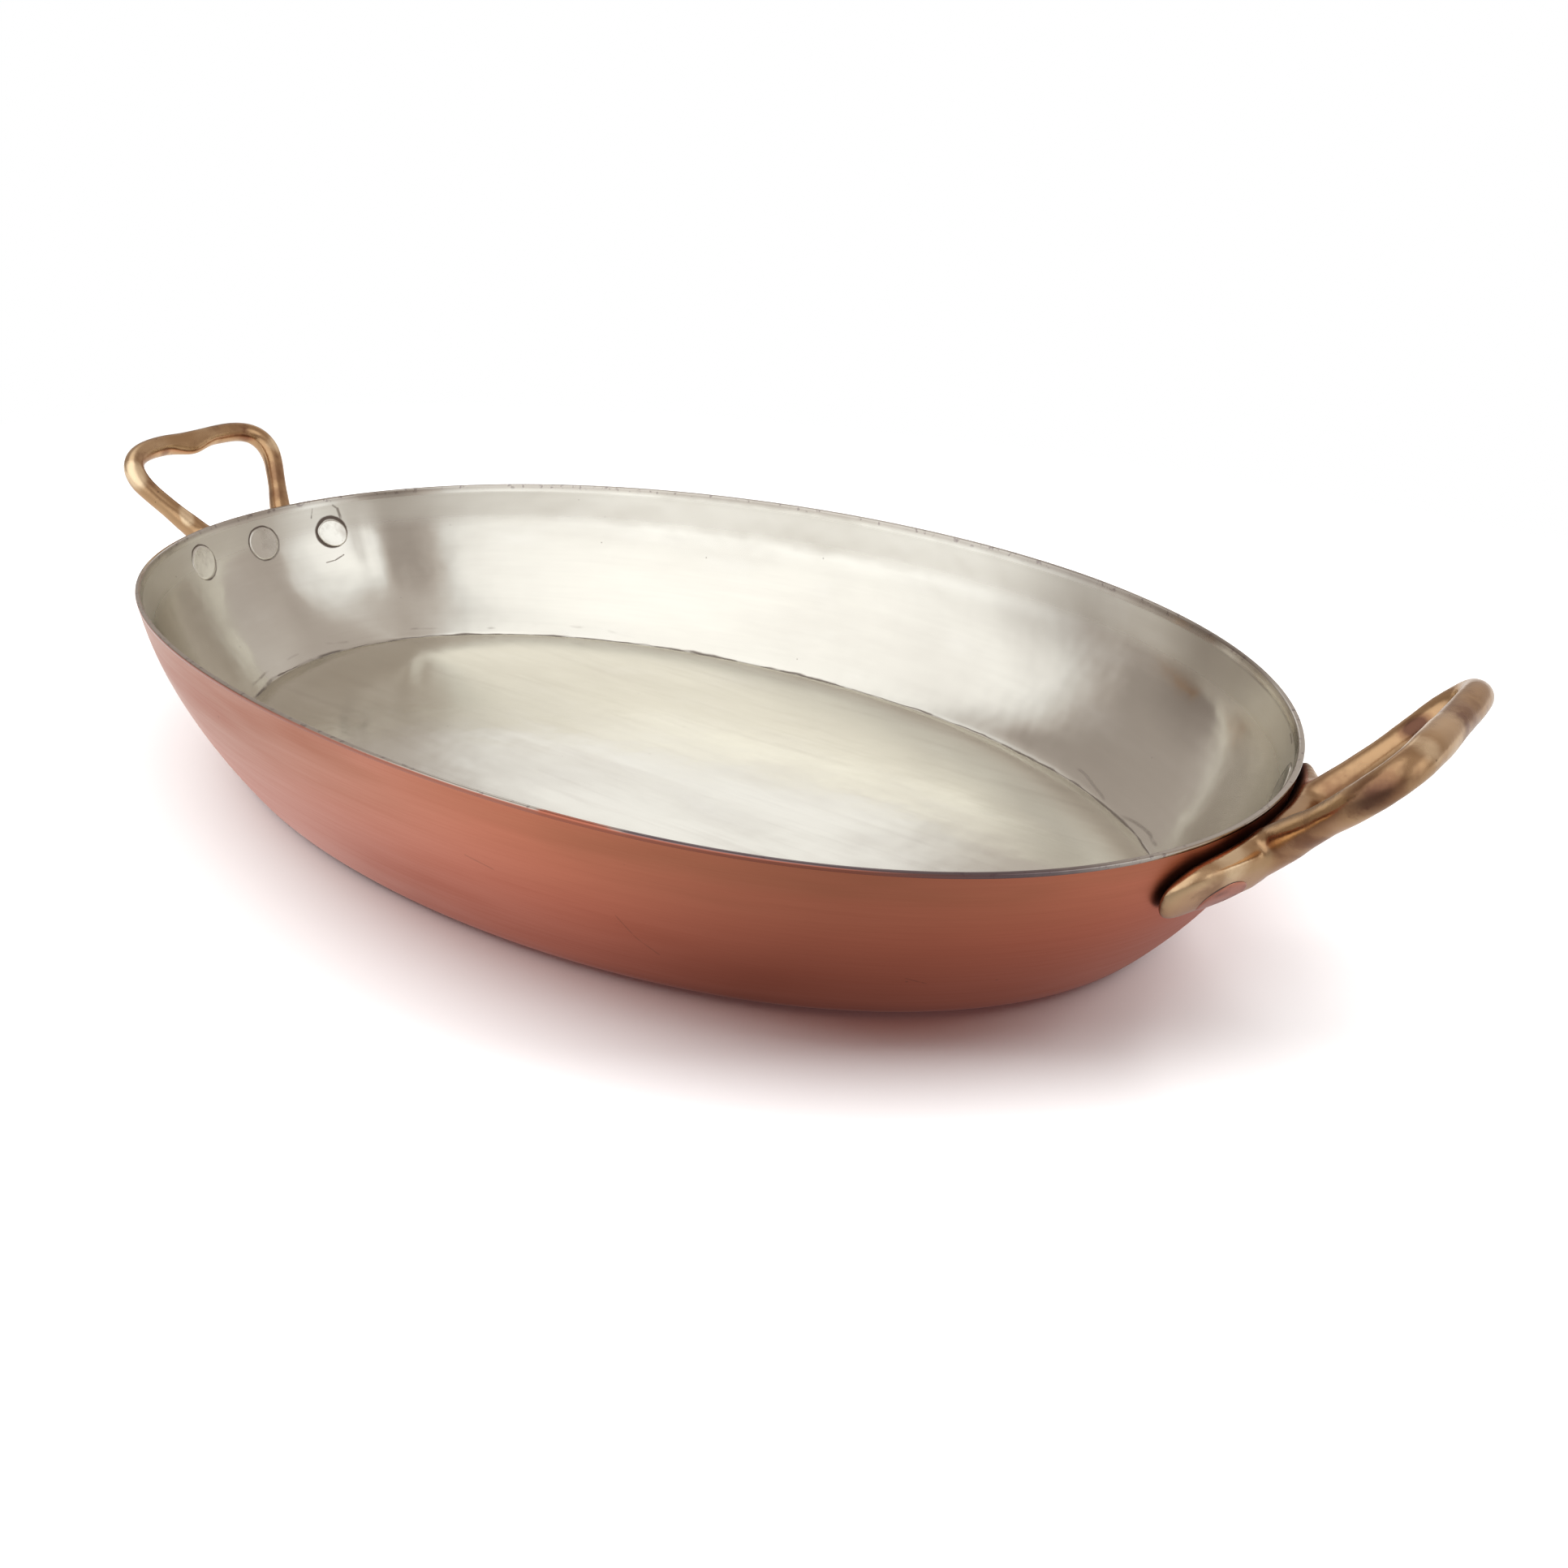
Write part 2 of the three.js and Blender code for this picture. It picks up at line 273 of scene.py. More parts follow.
@dataclass(frozen=True)
class PanForm:
    """The outside of the copper, as a point for each angle round the oval and share of the height."""

    rim_length: float = 350 * MM
    rim_width: float = 215 * MM
    base_length: float = 301 * MM
    base_width: float = 176.6 * MM
    height: float = 49.4 * MM
    foot_radius: float = 3 * MM
    wall_bow: float = 0.19
    rim_squareness: float = 0.082
    base_squareness: float = 0.046
    rim_fullness: float = 0.07
    base_fullness: float = 0.03
    rim_end_drop: float = 2.4 * MM
    rim_end_tilt: float = 0.4 * MM

    def wall(self, angle: Array, share: Array) -> Array:
        """Finds points of the outer wall.

        Args:
            angle: Angles round the oval from +X.
            share: Shares of the pan's height.

        Returns:
            One row of three coordinates for each.
        """
        angle, share = np.broadcast_arrays(np.asarray(angle, float), np.asarray(share, float))
        spread = share + 4 * self.wall_bow * share * (1 - share)
        half_length = part_way(self.base_length, self.rim_length, spread) / 2
        half_width = part_way(self.base_width, self.rim_width, spread) / 2
        squareness = part_way(self.base_squareness, self.rim_squareness, share)
        fullness = part_way(self.base_fullness, self.rim_fullness, share)
        along, across = np.cos(angle), np.sin(angle)
        foot = self.foot_radius / self.height
        lift = np.maximum(0, share - foot) / (1 - foot)
        drop = self.rim_end_drop * np.cos(2 * angle) + self.rim_end_tilt * along
        bulge = 1 + squareness * along * along + fullness * along
        height = share * self.height - lift * drop
        return np.stack([half_length * along, half_width * across * bulge, height], -1)

    def normal(self, angle: Array, share: Array) -> Array:
        """Finds the wall's outward normals.

        Args:
            angle: Angles round the oval.
            share: Shares of the pan's height.

        Returns:
            One unit vector for each.
        """
        step = 1e-4
        around = self.wall(angle + step, share) - self.wall(angle - step, share)
        upward = self.wall(angle, share + step) - self.wall(angle, share - step)
        crossed = np.cross(around, upward)
        return crossed / np.linalg.norm(crossed, axis=-1, keepdims=True)

    def locate(self, end: End, across: Array, height: Array) -> tuple[Array, Array]:
        """Finds the angle and share of wall points at one end.

        Args:
            end: The pan's end.
            across: Places across the pan, along Y.
            height: Heights above the base.

        Returns:
            The angles and the shares.
        """
        across, height = np.broadcast_arrays(np.asarray(across, float), np.asarray(height, float))
        angle = np.full(across.shape, 0.0 if end is End.RIGHT else math.pi)
        share = height / self.height
        rounds = 40
        for _ in range(rounds):
            found = self.wall(angle, share)
            angle = angle + end.value * (across - found[..., 1]) / (self.rim_width / 2)
            share = share + (height - found[..., 2]) / self.height
        return angle, share

    def off_wall(self, end: End, across: Array, height: Array, distance: Array) -> Array:
        """Finds points off the wall at one end, along its normal.

        Args:
            end: The pan's end.
            across: Places across the pan.
            height: Heights of the wall points.
            distance: Distances off the wall.

        Returns:
            One row of three coordinates for each.
        """
        angle, share = self.locate(end, across, height)
        distance = np.asarray(distance, float)[..., None]
        return self.wall(angle, share) + self.normal(angle, share) * distance

    def level(self, angle: Array, height: Array, distance: Array, inset: Array) -> Array:
        """Finds points of level rings, off the wall and then drawn in.

        Args:
            angle: Angles round the oval.
            height: Heights of the wall points.
            distance: Distances off the wall.
            inset: How far each is drawn in.

        Returns:
            One row of three coordinates for each.
        """
        share = np.asarray(height, float) / self.height
        normal = self.normal(angle, share)
        flat = np.hypot(normal[..., 0], normal[..., 1])
        outward = normal * [1.0, 1.0, 0.0] / flat[..., None]
        return self.wall(angle, share) + outward * (distance / flat - inset)[..., None]

    def spot(self, degrees: float, height_mm: float, depth: float) -> Point:
        """A point of the wall, or behind it by a depth, for a mark in a material."""
        angle, share = math.radians(degrees), height_mm * MM / self.height
        return tuple(self.wall(angle, share) - self.normal(angle, share) * depth)


@dataclass(frozen=True)
class Dent:
    """A soft dent or bulge in the wall.

    Attributes:
        degrees: Angle of its middle round the oval.
        height: Height of its middle.
        around: Its reach round the wall.
        up: Its reach up the wall.
        depth: How far it stands out, or in where negative.
    """

    degrees: float
    height: float
    around: float
    up: float
    depth: float


def dented(*rows: tuple[float, ...]) -> tuple[Dent, ...]:
    """Makes dents out of rows of their attributes, with the lengths in mm."""
    return tuple(Dent(degrees, *(length * MM for length in lengths)) for degrees, *lengths in rows)


@dataclass(frozen=True)
class HandWork:
    """The unevenness that hammering, planishing and wiping leave in the pan."""

    form: PanForm
    wave: float = 0.05 * MM
    floor_wave: float = 0.018 * MM
    plate_reach: float = 52 * MM
    plate_fade: float = 9 * MM
    dents: tuple[Dent, ...] = dented(
        (147, 30, 15, 16, 0.22), (137, 20, 10, 12, -0.12), (62, 36, 12, 13, 0.16),
        (64, 22, 9, 8, -0.12), (105, 30, 22, 14, -0.1), (30, 20, 18, 12, 0.14),
    )
    puckers: tuple[Dent, ...] = dented(
        (161.5, 34, 3.4, 12, -0.22), (157.5, 26, 6, 20, 0.2), (155, 20, 2.2, 5, -0.16),
        (171, 20, 12, 8, -0.3), (179, 25, 6, 11, 0.24), (187, 15, 10, 6, -0.2), (163, 10, 10, 6, -0.14),
        (192, 27, 12, 9, 0.1), (16, 26, 14, 10, -0.2), (350, 24, 15, 9, 0.14),
    )

    def bump(self, dent: Dent, angle: Array, height: Array) -> Array:
        """Measures one dent at many places.

        Args:
            dent: The dent.
            angle: Angles round the oval.
            height: Heights on the wall.

        Returns:
            How far the wall stands out at each place.
        """
        middle = math.radians(dent.degrees)
        share = dent.height / self.form.height
        step = 0.01
        pair = self.form.wall(np.array([middle - step, middle + step]), share)
        pace = np.linalg.norm(pair[1] - pair[0]) / (2 * step)
        turned = (angle - middle + math.pi) % (2 * math.pi) - math.pi
        around = turned * pace / dent.around
        upward = (height - dent.height) / dent.up
        return dent.depth * np.exp(-(around**2) - upward**2)

    def body(self, angle: Array, height: Array) -> Array:
        """Measures the unevenness that copper and lining share.

        Args:
            angle: Angles round the oval.
            height: Heights on the wall.

        Returns:
            How far the wall stands out at each place, and nothing under a handle plate.
        """
        share = height / self.form.height
        spread = (
            np.sin(7 * angle + 1.1 + 2.2 * share)
            + 0.8 * np.sin(11 * angle + 4.0 - 3.1 * share)
            + 0.6 * np.sin(17 * angle + 0.4 + 5.0 * share)
        )
        total = self.wave * spread * np.sin(math.pi * np.clip(share, 0, 1)) ** 0.7
        for dent in self.dents:
            total = total + self.bump(dent, angle, height)
        across = np.abs(self.form.wall(angle, share)[..., 1])
        at_end = np.clip((np.abs(np.cos(angle)) - 0.75) / 0.1, 0, 1)
        near_plate = at_end * np.clip((self.plate_reach - across) / self.plate_fade, 0, 1)
        return total * (1 - near_plate)

    def inside(self, angle: Array, height: Array) -> Array:
        """Measures the puckers of the lining by the rivets.

        Args:
            angle: Angles round the oval.
            height: Heights on the wall.

        Returns:
            How far the lining's face stands out at each place.
        """
        total = np.zeros(np.shape(angle))
        for pucker in self.puckers:
            total = total + self.bump(pucker, angle, height)
        return total

    def floor(self, places: Array) -> Array:
        """Measures how the wiped tin of the floor rises and falls.

        Args:
            places: Points of the floor.

        Returns:
            The rise at each point.
        """
        x, y = places[..., 0], places[..., 1]
        rise = np.sin(38 * x + 21 * y + 0.6) + 0.8 * np.sin(61 * y - 27 * x + 2.0) + 0.5 * np.sin(90 * x + 74 * y)
        return self.floor_wave * rise


@dataclass(frozen=True)
class Station:
    """One ring of a skin, in the wall's own measures.

    Attributes:
        height: Height of the wall point that it belongs to.
        distance: Distance off the outer wall.
        inset: How far it is then drawn in.
        scale: How far it is drawn to the pan's axis, 1 for not at all.
        lip: 1 on the rim's lip and 0 elsewhere.
        way: Distance from the floor's crease, up the wall where positive and along the floor where not.
    """

    height: float
    distance: float = 0.0
    inset: float = 0.0
    scale: float = 1.0
    lip: float = 0.0
    way: float = 0.02


@dataclass
class PanBody:
    """The raised copper shell and the tin coat inside it."""

    form: PanForm
    work: HandWork
    copper_sheet: float = 1.3 * MM
    lining_gap: float = 0.12 * MM
    tin_lining: float = 0.3 * MM
    corner_fill: float = 1.5 * MM
    corner_fill_height: float = 10 * MM
    rim_round: float = 0.42 * MM
    lip_stand: float = 0.07 * MM
    lip_reach: float = 0.55 * MM
    around: int = 320

    @property
    def floor_inside(self) -> float:
        """Height of the tinned floor."""
        return self.copper_sheet + self.lining_gap + self.tin_lining

    def foot_inset(self, height: float) -> float:
        """How far the rounded foot draws in at a height."""
        radius = self.form.foot_radius
        return radius - math.sqrt(max(0.0, radius**2 - (radius - height) ** 2))

    def fill(self, height: float) -> float:
        """How far the inner corner is filled at a height."""
        return self.corner_fill * max(0.0, 1 - height / self.corner_fill_height) ** 2

    def rim_turn(self, stand: float, first: float, last: float, steps: int) -> list[Station]:
        """Rings over the rim's rounded edge.

        Args:
            stand: How far the skin stands off the copper's edge.
            first: Angle of the first ring, 0 outside and 180 inside.
            last: Angle of the last ring.
            steps: How many rings.

        Returns:
            The stations in turn.
        """
        top = self.form.height - self.lip_stand
        made = []
        for degrees in np.linspace(first, last, steps):
            angle = math.radians(degrees)
            middle = -self.rim_round if degrees < 90 else self.rim_round - self.copper_sheet
            reach = self.rim_round + stand
            height = top - self.rim_round + reach * math.sin(angle)
            made.append(Station(height, middle + reach * math.cos(angle), lip=1 - degrees / 450))
        return made

    def skin(self, name: str, stations: list[Station], lined: bool) -> Piece:
        """Raises a closed skin over a list of stations.

        Args:
            name: The piece's name.
            stations: Its rings from one pole to the other.
            lined: True for the lining, which has puckers and the floor's unevenness on its face.

        Returns:
            The finished mesh piece.
        """
        sleeve = Sleeve(name, self.around, len(stations))
        table = np.array([[s.height, s.distance, s.inset, s.scale, s.lip, s.way] for s in stations])
        height, distance, inset, scale, lip, way = table[sleeve.row].T
        wall_start, wall_fade, floor_fade, pole_way = 2.2 * MM, 5 * MM, 6 * MM, -90 * MM
        wall_part = np.clip((height - wall_start) / wall_fade, 0, 1) * (scale == 1)
        moved = self.work.body(sleeve.turn, height) * wall_part
        if lined:
            on_face = distance < -self.copper_sheet - 1.5 * self.lining_gap
            moved = moved + self.work.inside(sleeve.turn, height) * wall_part * on_face
        places = self.form.level(sleeve.turn, height, distance + moved, inset)
        places[:, :2] *= scale[:, None]
        if lined:
            on_floor = (way <= 0) & (way > -1)
            places[:, 2] += self.work.floor(places) * on_floor * np.clip(-way / floor_fade, 0, 1)
        piece = sleeve.shape(places, (0.0, 0.0, stations[0].height), (0.0, 0.0, stations[-1].height))
        final = places_of(piece)
        on_wall = way > 0
        grain = np.stack([final[:, 0], final[:, 1] * on_wall, np.where(on_wall, height, final[:, 1])], -1)
        paint(piece, "grain", grain)
        paint(piece, "lip", lip)
        paint(piece, "way", np.where(sleeve.pole, pole_way, way))
        smooth(piece, 62)
        return piece

    def shell(self) -> Piece:
        """Models the copper shell, from under its base over the rim to its hidden inside.

        Returns:
            The shell.
        """
        form, top = self.form, self.form.height - self.lip_stand
        foot = form.foot_radius
        outside_stop, inside_start = top - 1.2 * MM, top - 1.5 * MM
        rings = [Station(0.0, 0.0, foot, scale) for scale in (0.04, 0.2, 0.4, 0.6, 0.8, 0.9, 0.97)]
        for degrees in np.linspace(0, 78, 8):
            height = foot * (1 - math.cos(math.radians(degrees)))
            rings.append(Station(height, 0.0, self.foot_inset(height)))
        rings += [Station(height) for height in np.linspace(foot, outside_stop, 50)]
        rings += self.rim_turn(0.0, 0, 89.9, 6)
        rings += self.rim_turn(0.0, 90.1, 180, 6)
        inner = -self.copper_sheet
        for height in np.linspace(inside_start, self.copper_sheet, 14):
            rings.append(Station(height, inner, self.fill(height)))
        rings += [Station(self.copper_sheet, inner, self.fill(self.copper_sheet), s) for s in (0.7, 0.3)]
        return self.skin("pan_shell_raised", rings, lined=False)

    def lining(self) -> Piece:
        """Models the tin coat: floor, crease, wall, a lip over the rim, and its hidden back.

        Returns:
            The lining.
        """
        form, floor = self.form, self.floor_inside
        top = form.height - self.lip_stand
        crease_inset = self.fill(floor) + 0.55 * MM
        half = form.base_width / 2
        thinned, thinning, last_face = top - 9 * MM, 8 * MM, top - 2.2 * MM
        lip_edge, back_face = top - self.rim_round - self.lip_reach, 0.015 * MM
        rings = []
        for scale in [0.03, *np.linspace(0.08, 0.94, 26), 0.955, 0.97, 0.98, 0.988, 0.994]:
            rings.append(Station(floor, -floor, crease_inset, scale, way=-(1 - scale) * half))
        for rise, less in ((0.0, 0.0), (0.05, 0.3), (0.16, 0.48), (0.34, 0.56)):
            rings.append(Station(floor + rise * MM, -floor, crease_inset - less * MM, way=(rise + less) * MM))
        last_step = floor + 0.34 * MM
        for height in [*np.linspace(0.6, 3.0, 6), *np.linspace(3.8, 44.5, 58)]:
            height = height * MM + floor
            if height > last_face:
                break
            near_rim = np.clip((height - thinned) / thinning, 0, 1) ** 2
            distance = -floor + near_rim * (floor - self.copper_sheet - self.lip_stand)
            rings.append(Station(height, distance, self.fill(height), way=0.9 * MM + height - last_step))
        rings += self.rim_turn(self.lip_stand, 180, 90.1, 8)
        rings += self.rim_turn(self.lip_stand, 89.9, 0, 8)
        rings.append(Station(lip_edge, 0.05 * MM, lip=1.0))
        rings.append(Station(lip_edge - 0.05 * MM, 0.012 * MM, lip=1.0))
        rings += self.rim_turn(back_face, 0, 89.9, 5)
        rings += self.rim_turn(back_face, 90.1, 180, 5)
        back = -(self.copper_sheet + self.lining_gap)
        for height in np.linspace(top - 4 * MM, -back, 14):
            rings.append(Station(height, back, self.fill(height)))
        rings += [Station(-back, back, self.fill(-back), scale, way=-2.0) for scale in (0.7, 0.3)]
        return self.skin("pan_lining_wiped", rings, lined=True)

    def build(self, copper: Material, tin: Material) -> None:
        """Models the copper shell and the tin lining, and dresses both."""
        dress(self.shell(), Slot.COPPER, copper, "pan_shell")
        dress(self.lining(), Slot.TIN, tin, "tin_lining")


# Rivets and handles


@dataclass(frozen=True)
class PlateForm:
    """The cast face of a handle's plate: domed, thickest near its top and thin at its ends."""

    length: float = 71 * MM
    width: float = 16.4 * MM
    height_on_wall: float = 37.5 * MM
    end_face: float = 2.6 * MM
    root_bulge: float = 1.6 * MM
    root_across: float = 12 * MM
    root_length: float = 9 * MM
    taper_start: float = 10 * MM
    shoulder_start: float = 16 * MM
    far_taper: float = 0.62
    shoulder: float = 0.42
    rises: tuple[float, ...] = (-1.0, -0.6, -0.2, 0.2, 0.5, 0.8, 1.0)
    faces: tuple[float, ...] = (2.3 * MM, 4.1 * MM, 5.6 * MM, 6.7 * MM, 7.2 * MM, 7.1 * MM, 6.6 * MM)

    def face(self, across: Array, height: Array) -> Array:
        """Finds how far the plate's face stands off the wall.

        Args:
            across: Places across the pan.
            height: Heights on the wall.

        Returns:
            The distance at each place.
        """
        rise = np.clip((height - self.height_on_wall) / (self.width / 2), -1, 1)
        full = np.interp(rise, self.rises, self.faces)
        along = np.clip(np.abs(across) / (self.length / 2), 0, 1)
        taper = 1 - self.far_taper * np.clip((across - self.taper_start) / (self.length / 2 - self.taper_start), 0, 1)
        full = full * taper
        thin = np.minimum(self.end_face * np.sqrt(taper), full)
        from_root = (np.abs(across) - self.root_across) / self.root_length
        bulge = self.root_bulge * np.exp(-(from_root**2) - (rise - 0.1) ** 2)
        return thin + (full - thin) * (1 - along**3.4) ** 0.7 + bulge


@dataclass
class Rivet:
    """A copper rivet: a tinned head inside, a shank, and a head flush in the handle's plate.

    Attributes:
        form: The pan's form.
        end: The pan's end.
        side: Its place on the handle's plate.
        plate: The face of that plate.
        inner_head: Diameter of its tinned head.
        inner_shift: How far the tinned head sits from the shank, across and up the wall.
        outer_shift: The same for the outer head.
        tilt: Slope of the tinned head across and up the wall.
    """

    form: PanForm
    end: End
    side: Side
    plate: PlateForm
    inner_head: float = 11 * MM
    inner_shift: tuple[float, float] = (0.0, 0.0)
    outer_shift: tuple[float, float] = (0.0, 0.0)
    tilt: tuple[float, float] = (0.0, 0.0)
    pitch: float = 25.8 * MM
    height: float = 37 * MM
    inner_face: float = 1.72 * MM
    inner_rise: float = 0.17 * MM
    shank: float = 6 * MM
    outer_head: float = 9.4 * MM
    outer_depth: float = 1.5 * MM
    outer_rise: float = 0.2 * MM
    inner_seat: float = 1.42 * MM
    around: int = 64

    @property
    def node(self) -> str:
        """The CAD node that this rivet stands for."""
        return f"rivet_{self.end.name.lower()}_{self.side.name.lower()}"

    @property
    def across(self) -> float:
        """Its place across the pan."""
        return self.side.value * self.pitch

    def profile(self) -> list[tuple[float, float, float]]:
        """Lists the rivet's rings, from its inner face outwards.

        Returns:
            Radius, distance and a 1 where that is off the plate's face, for each.
        """
        inner, outer = self.inner_head / 2, self.outer_head / 2
        face = -self.inner_face - self.inner_rise
        rings = [(share * inner, face, 0.0) for share in (0.06, 0.3, 0.6, 0.8)]
        for degrees in (0, 20, 40, 60, 75, 90):
            angle = math.radians(degrees)
            edge = inner - 0.5 * MM * (1 - math.sin(angle))
            rings.append((edge, face + 0.42 * MM * (1 - math.cos(angle)), 0.0))
        rings += [(inner, -self.inner_seat, 0.0), (self.shank / 2, -self.inner_seat, 0.0)]
        rings += [(self.shank / 2, -self.outer_depth, 1.0), (outer, -self.outer_depth, 1.0)]
        top = self.outer_rise
        for degrees in (0, 25, 50, 70, 90):
            angle = math.radians(degrees)
            rings.append((outer - 0.7 * MM * (1 - math.cos(angle)), top - 0.3 * MM * (1 - math.sin(angle)), 1.0))
        rings += [(0.7 * outer, top, 1.0), (0.4 * outer, top, 1.0), (0.08 * outer, top, 1.0)]
        return rings

    def spot(self, outside: bool) -> tuple[float, float]:
        """Place across and height of the middle of one head."""
        shift = self.outer_shift if outside else self.inner_shift
        return self.across + shift[0], self.height + shift[1]

    def centre(self, outside: bool) -> Point:
        """Finds the middle of one head's face.

        Args:
            outside: True for the outer head.

        Returns:
            The point.
        """
        across, height = self.spot(outside)
        face = self.plate.face(across, height) if outside else -self.inner_face - self.inner_rise
        return tuple(self.form.off_wall(self.end, across, height, face))

    def build(self, material: Material) -> None:
        """Models and dresses the rivet.

        Args:
            material: The rivets' material.
        """
        rings = self.profile()
        sleeve = Sleeve(f"{self.node}_peened", self.around, len(rings))
        radius, distance, on_plate = np.array(rings)[sleeve.row].T
        wobble = 1 + 0.012 * np.sin(3 * sleeve.turn + self.across * 700) + 0.008 * np.sin(5 * sleeve.turn)
        radius = np.where(sleeve.pole, 0.0, radius)
        inner, outer = self.spot(False), self.spot(True)
        outside = on_plate > 0.5
        along = radius * wobble * np.cos(sleeve.turn)
        rising = radius * wobble * np.sin(sleeve.turn)
        across = np.where(outside, outer[0], inner[0]) + along
        height = np.where(outside, outer[1], inner[1]) + 0.96 * rising
        slope = self.tilt[0] * along + self.tilt[1] * rising
        proud = (abs(self.tilt[0]) + abs(self.tilt[1])) * self.inner_head / 3
        leaning = np.where(distance < -1.5 * MM, -0.35 * slope - 0.35 * proud, 0.0)
        distance = distance + np.where(outside, self.plate.face(across, height), leaning)
        piece = sleeve.shape(self.form.off_wall(self.end, across, height, distance))
        inside = (~outside).astype(float)
        paint(piece, "inside", inside)
        paint(piece, "lean", slope * inside)
        smooth(piece, 55)
        dress(piece, Slot.RIVET, material, self.node)


@dataclass
class Handle:
    """A cast brass handle: a curved plate and a leaning loop, run together in one casting.

    Attributes:
        form: The pan's form.
        end: The pan's end.
        plate: The face of its plate.
        root_height: Height of the loop's root on the wall.
        sink: How far the loop's bar runs on into the plate.
        tarnish: Brown tarnish and painted dark reflections, in patches.
        rubbed: Painted highlights and rubbed brass, in patches.
    """

    form: PanForm
    end: End
    plate: PlateForm
    root_height: float
    sink: float
    tarnish: Patches = ()
    rubbed: Patches = ()
    clearance: float = 0.3 * MM
    root_face: float = 4.8 * MM
    loop_reach: float = 39.4 * MM
    root_width: float = 26 * MM
    tip_width: float = 62.2 * MM
    corner: float = 19.5 * MM
    lean: float = 49.0
    bar_width: float = 6.2 * MM
    bar_depth: float = 7.2 * MM
    root_swell: float = 0.32
    root_swell_length: float = 11 * MM
    nub_height: float = 2.2 * MM
    nub_length: float = 19 * MM
    voxel: float = 0.42 * MM
    sand: float = 0.45 * MM
    hollow_across: float = 14 * MM
    hollow_reach: float = 10 * MM
    # Painted shade where the casting comes within these gaps of the wall.
    grime_start: float = 2.4 * MM
    grime_fade: float = 1.5 * MM

    def axes(self) -> tuple[Array, Array, Array]:
        """Finds the loop's own axes.

        Returns:
            The middle of its root, its leaning direction, and the direction square to its plane.
        """
        lean = math.radians(self.lean)
        outward = np.array([self.end.value * math.cos(lean), 0.0, math.sin(lean)])
        square = np.array([-self.end.value * math.sin(lean), 0.0, math.cos(lean)])
        return self.form.off_wall(self.end, 0.0, self.root_height, self.root_face), outward, square

    def at(self, reach: Array, across: Array, rise: Array) -> Array:
        """Finds places by the loop's own axes.

        Args:
            reach: Distances out along the loop.
            across: Places across the pan.
            rise: Distances off the loop's plane.

        Returns:
            One row of three coordinates for each.
        """
        start, outward, square = self.axes()
        reach, across, rise = (np.asarray(each, float)[..., None] for each in (reach, across, rise))
        return start + reach * outward + across * ACROSS + rise * square

    @property
    def node(self) -> str:
        """The CAD node that this handle stands for."""
        return f"handle_{self.end.name.lower()}"

    def cast_plate(self) -> Piece:
        """Models the plate: round-ended, domed, curved to the wall and standing off it at its edge.

        Returns:
            The plate.
        """
        rows = [(0.02, 1), (0.3, 1), (0.5, 1), (0.66, 1), (0.78, 0.99), (0.87, 0.95), (0.94, 0.86)]
        rows += [(0.985, 0.7), (1.0, 0.52), (0.99, 0.38), (0.95, 0.27), (0.87, 0.18), (0.75, 0.08)]
        rows += [(0.55, 0.0), (0.3, 0.0), (0.02, 0.0)]
        sleeve = Sleeve(f"{self.node}_cast", 128, len(rows))
        out, level = np.array(rows)[sleeve.row].T
        out = np.where(sleeve.pole, 0.0, out)
        half = self.plate.width / 2
        straight = self.plate.length / 2 - half
        turn = sleeve.turn
        rounded_share = 0.9
        side = np.where(np.abs(turn) < math.pi / 2, 1.0, -1.0)
        from_end = np.where(side > 0, turn, np.where(turn > 0, math.pi - turn, -math.pi - turn))
        on_round = np.abs(from_end) < rounded_share
        rounded = np.clip(from_end / rounded_share, -1, 1) * math.pi / 2
        past_round = (np.abs(from_end) - rounded_share) / (math.pi / 2 - rounded_share)
        slide = np.where(on_round, 1.0, 1 - past_round)
        across = side * (straight * slide * np.minimum(1, 1.6 * out) + out * half * np.cos(rounded) * on_round)
        rising = out * half * np.where(on_round, np.sin(rounded), np.sign(turn))
        shoulder_start = self.plate.shoulder_start
        beyond = np.clip((np.abs(across) - shoulder_start) / (self.plate.length / 2 - shoulder_start), 0, 1)
        rising = np.where(rising > 0, rising * (1 - self.plate.shoulder * beyond), rising)
        height = self.plate.height_on_wall + rising
        face = self.plate.face(across, height)
        distance = self.clearance + level * (face - self.clearance)
        return sleeve.shape(self.form.off_wall(self.end, across, height, distance))

    def loop_line(self, count: int) -> tuple[Array, Array, float]:
        """Walks the loop's centre line in its own plane.

        Args:
            count: How many points.

        Returns:
            The points, reach and across; the unit directions; and the whole length.
        """
        root, tip = self.root_width / 2, self.tip_width / 2
        leg = np.array([self.loop_reach, tip - root])
        sink = -self.sink
        turn = leg * (1 - self.corner / np.linalg.norm(leg))
        start = np.array([sink, -root - sink * leg[1] / leg[0]])
        bend = np.array([turn[0], -root - turn[1]])
        knee = np.array([self.loop_reach, -tip])
        grip = np.array([self.loop_reach, -tip + self.corner])
        share = np.linspace(0, 1, 60)[:, None]
        leg_part = start + (bend - start) * share
        arc = (1 - share) ** 2 * bend + 2 * share * (1 - share) * knee + share**2 * grip
        half = np.vstack([leg_part[:-1], arc])
        mirrored = half[::-1] * [1, -1]
        line = np.vstack([half, mirrored])
        length = np.concatenate([[0], np.cumsum(np.linalg.norm(np.diff(line, axis=0), axis=1))])
        even = np.linspace(0, length[-1], count)
        points = np.stack([np.interp(even, length, line[:, axis]) for axis in (0, 1)], -1)
        ahead = np.gradient(points, axis=0)
        ahead /= np.linalg.norm(ahead, axis=1, keepdims=True)
        return points, ahead, float(length[-1])

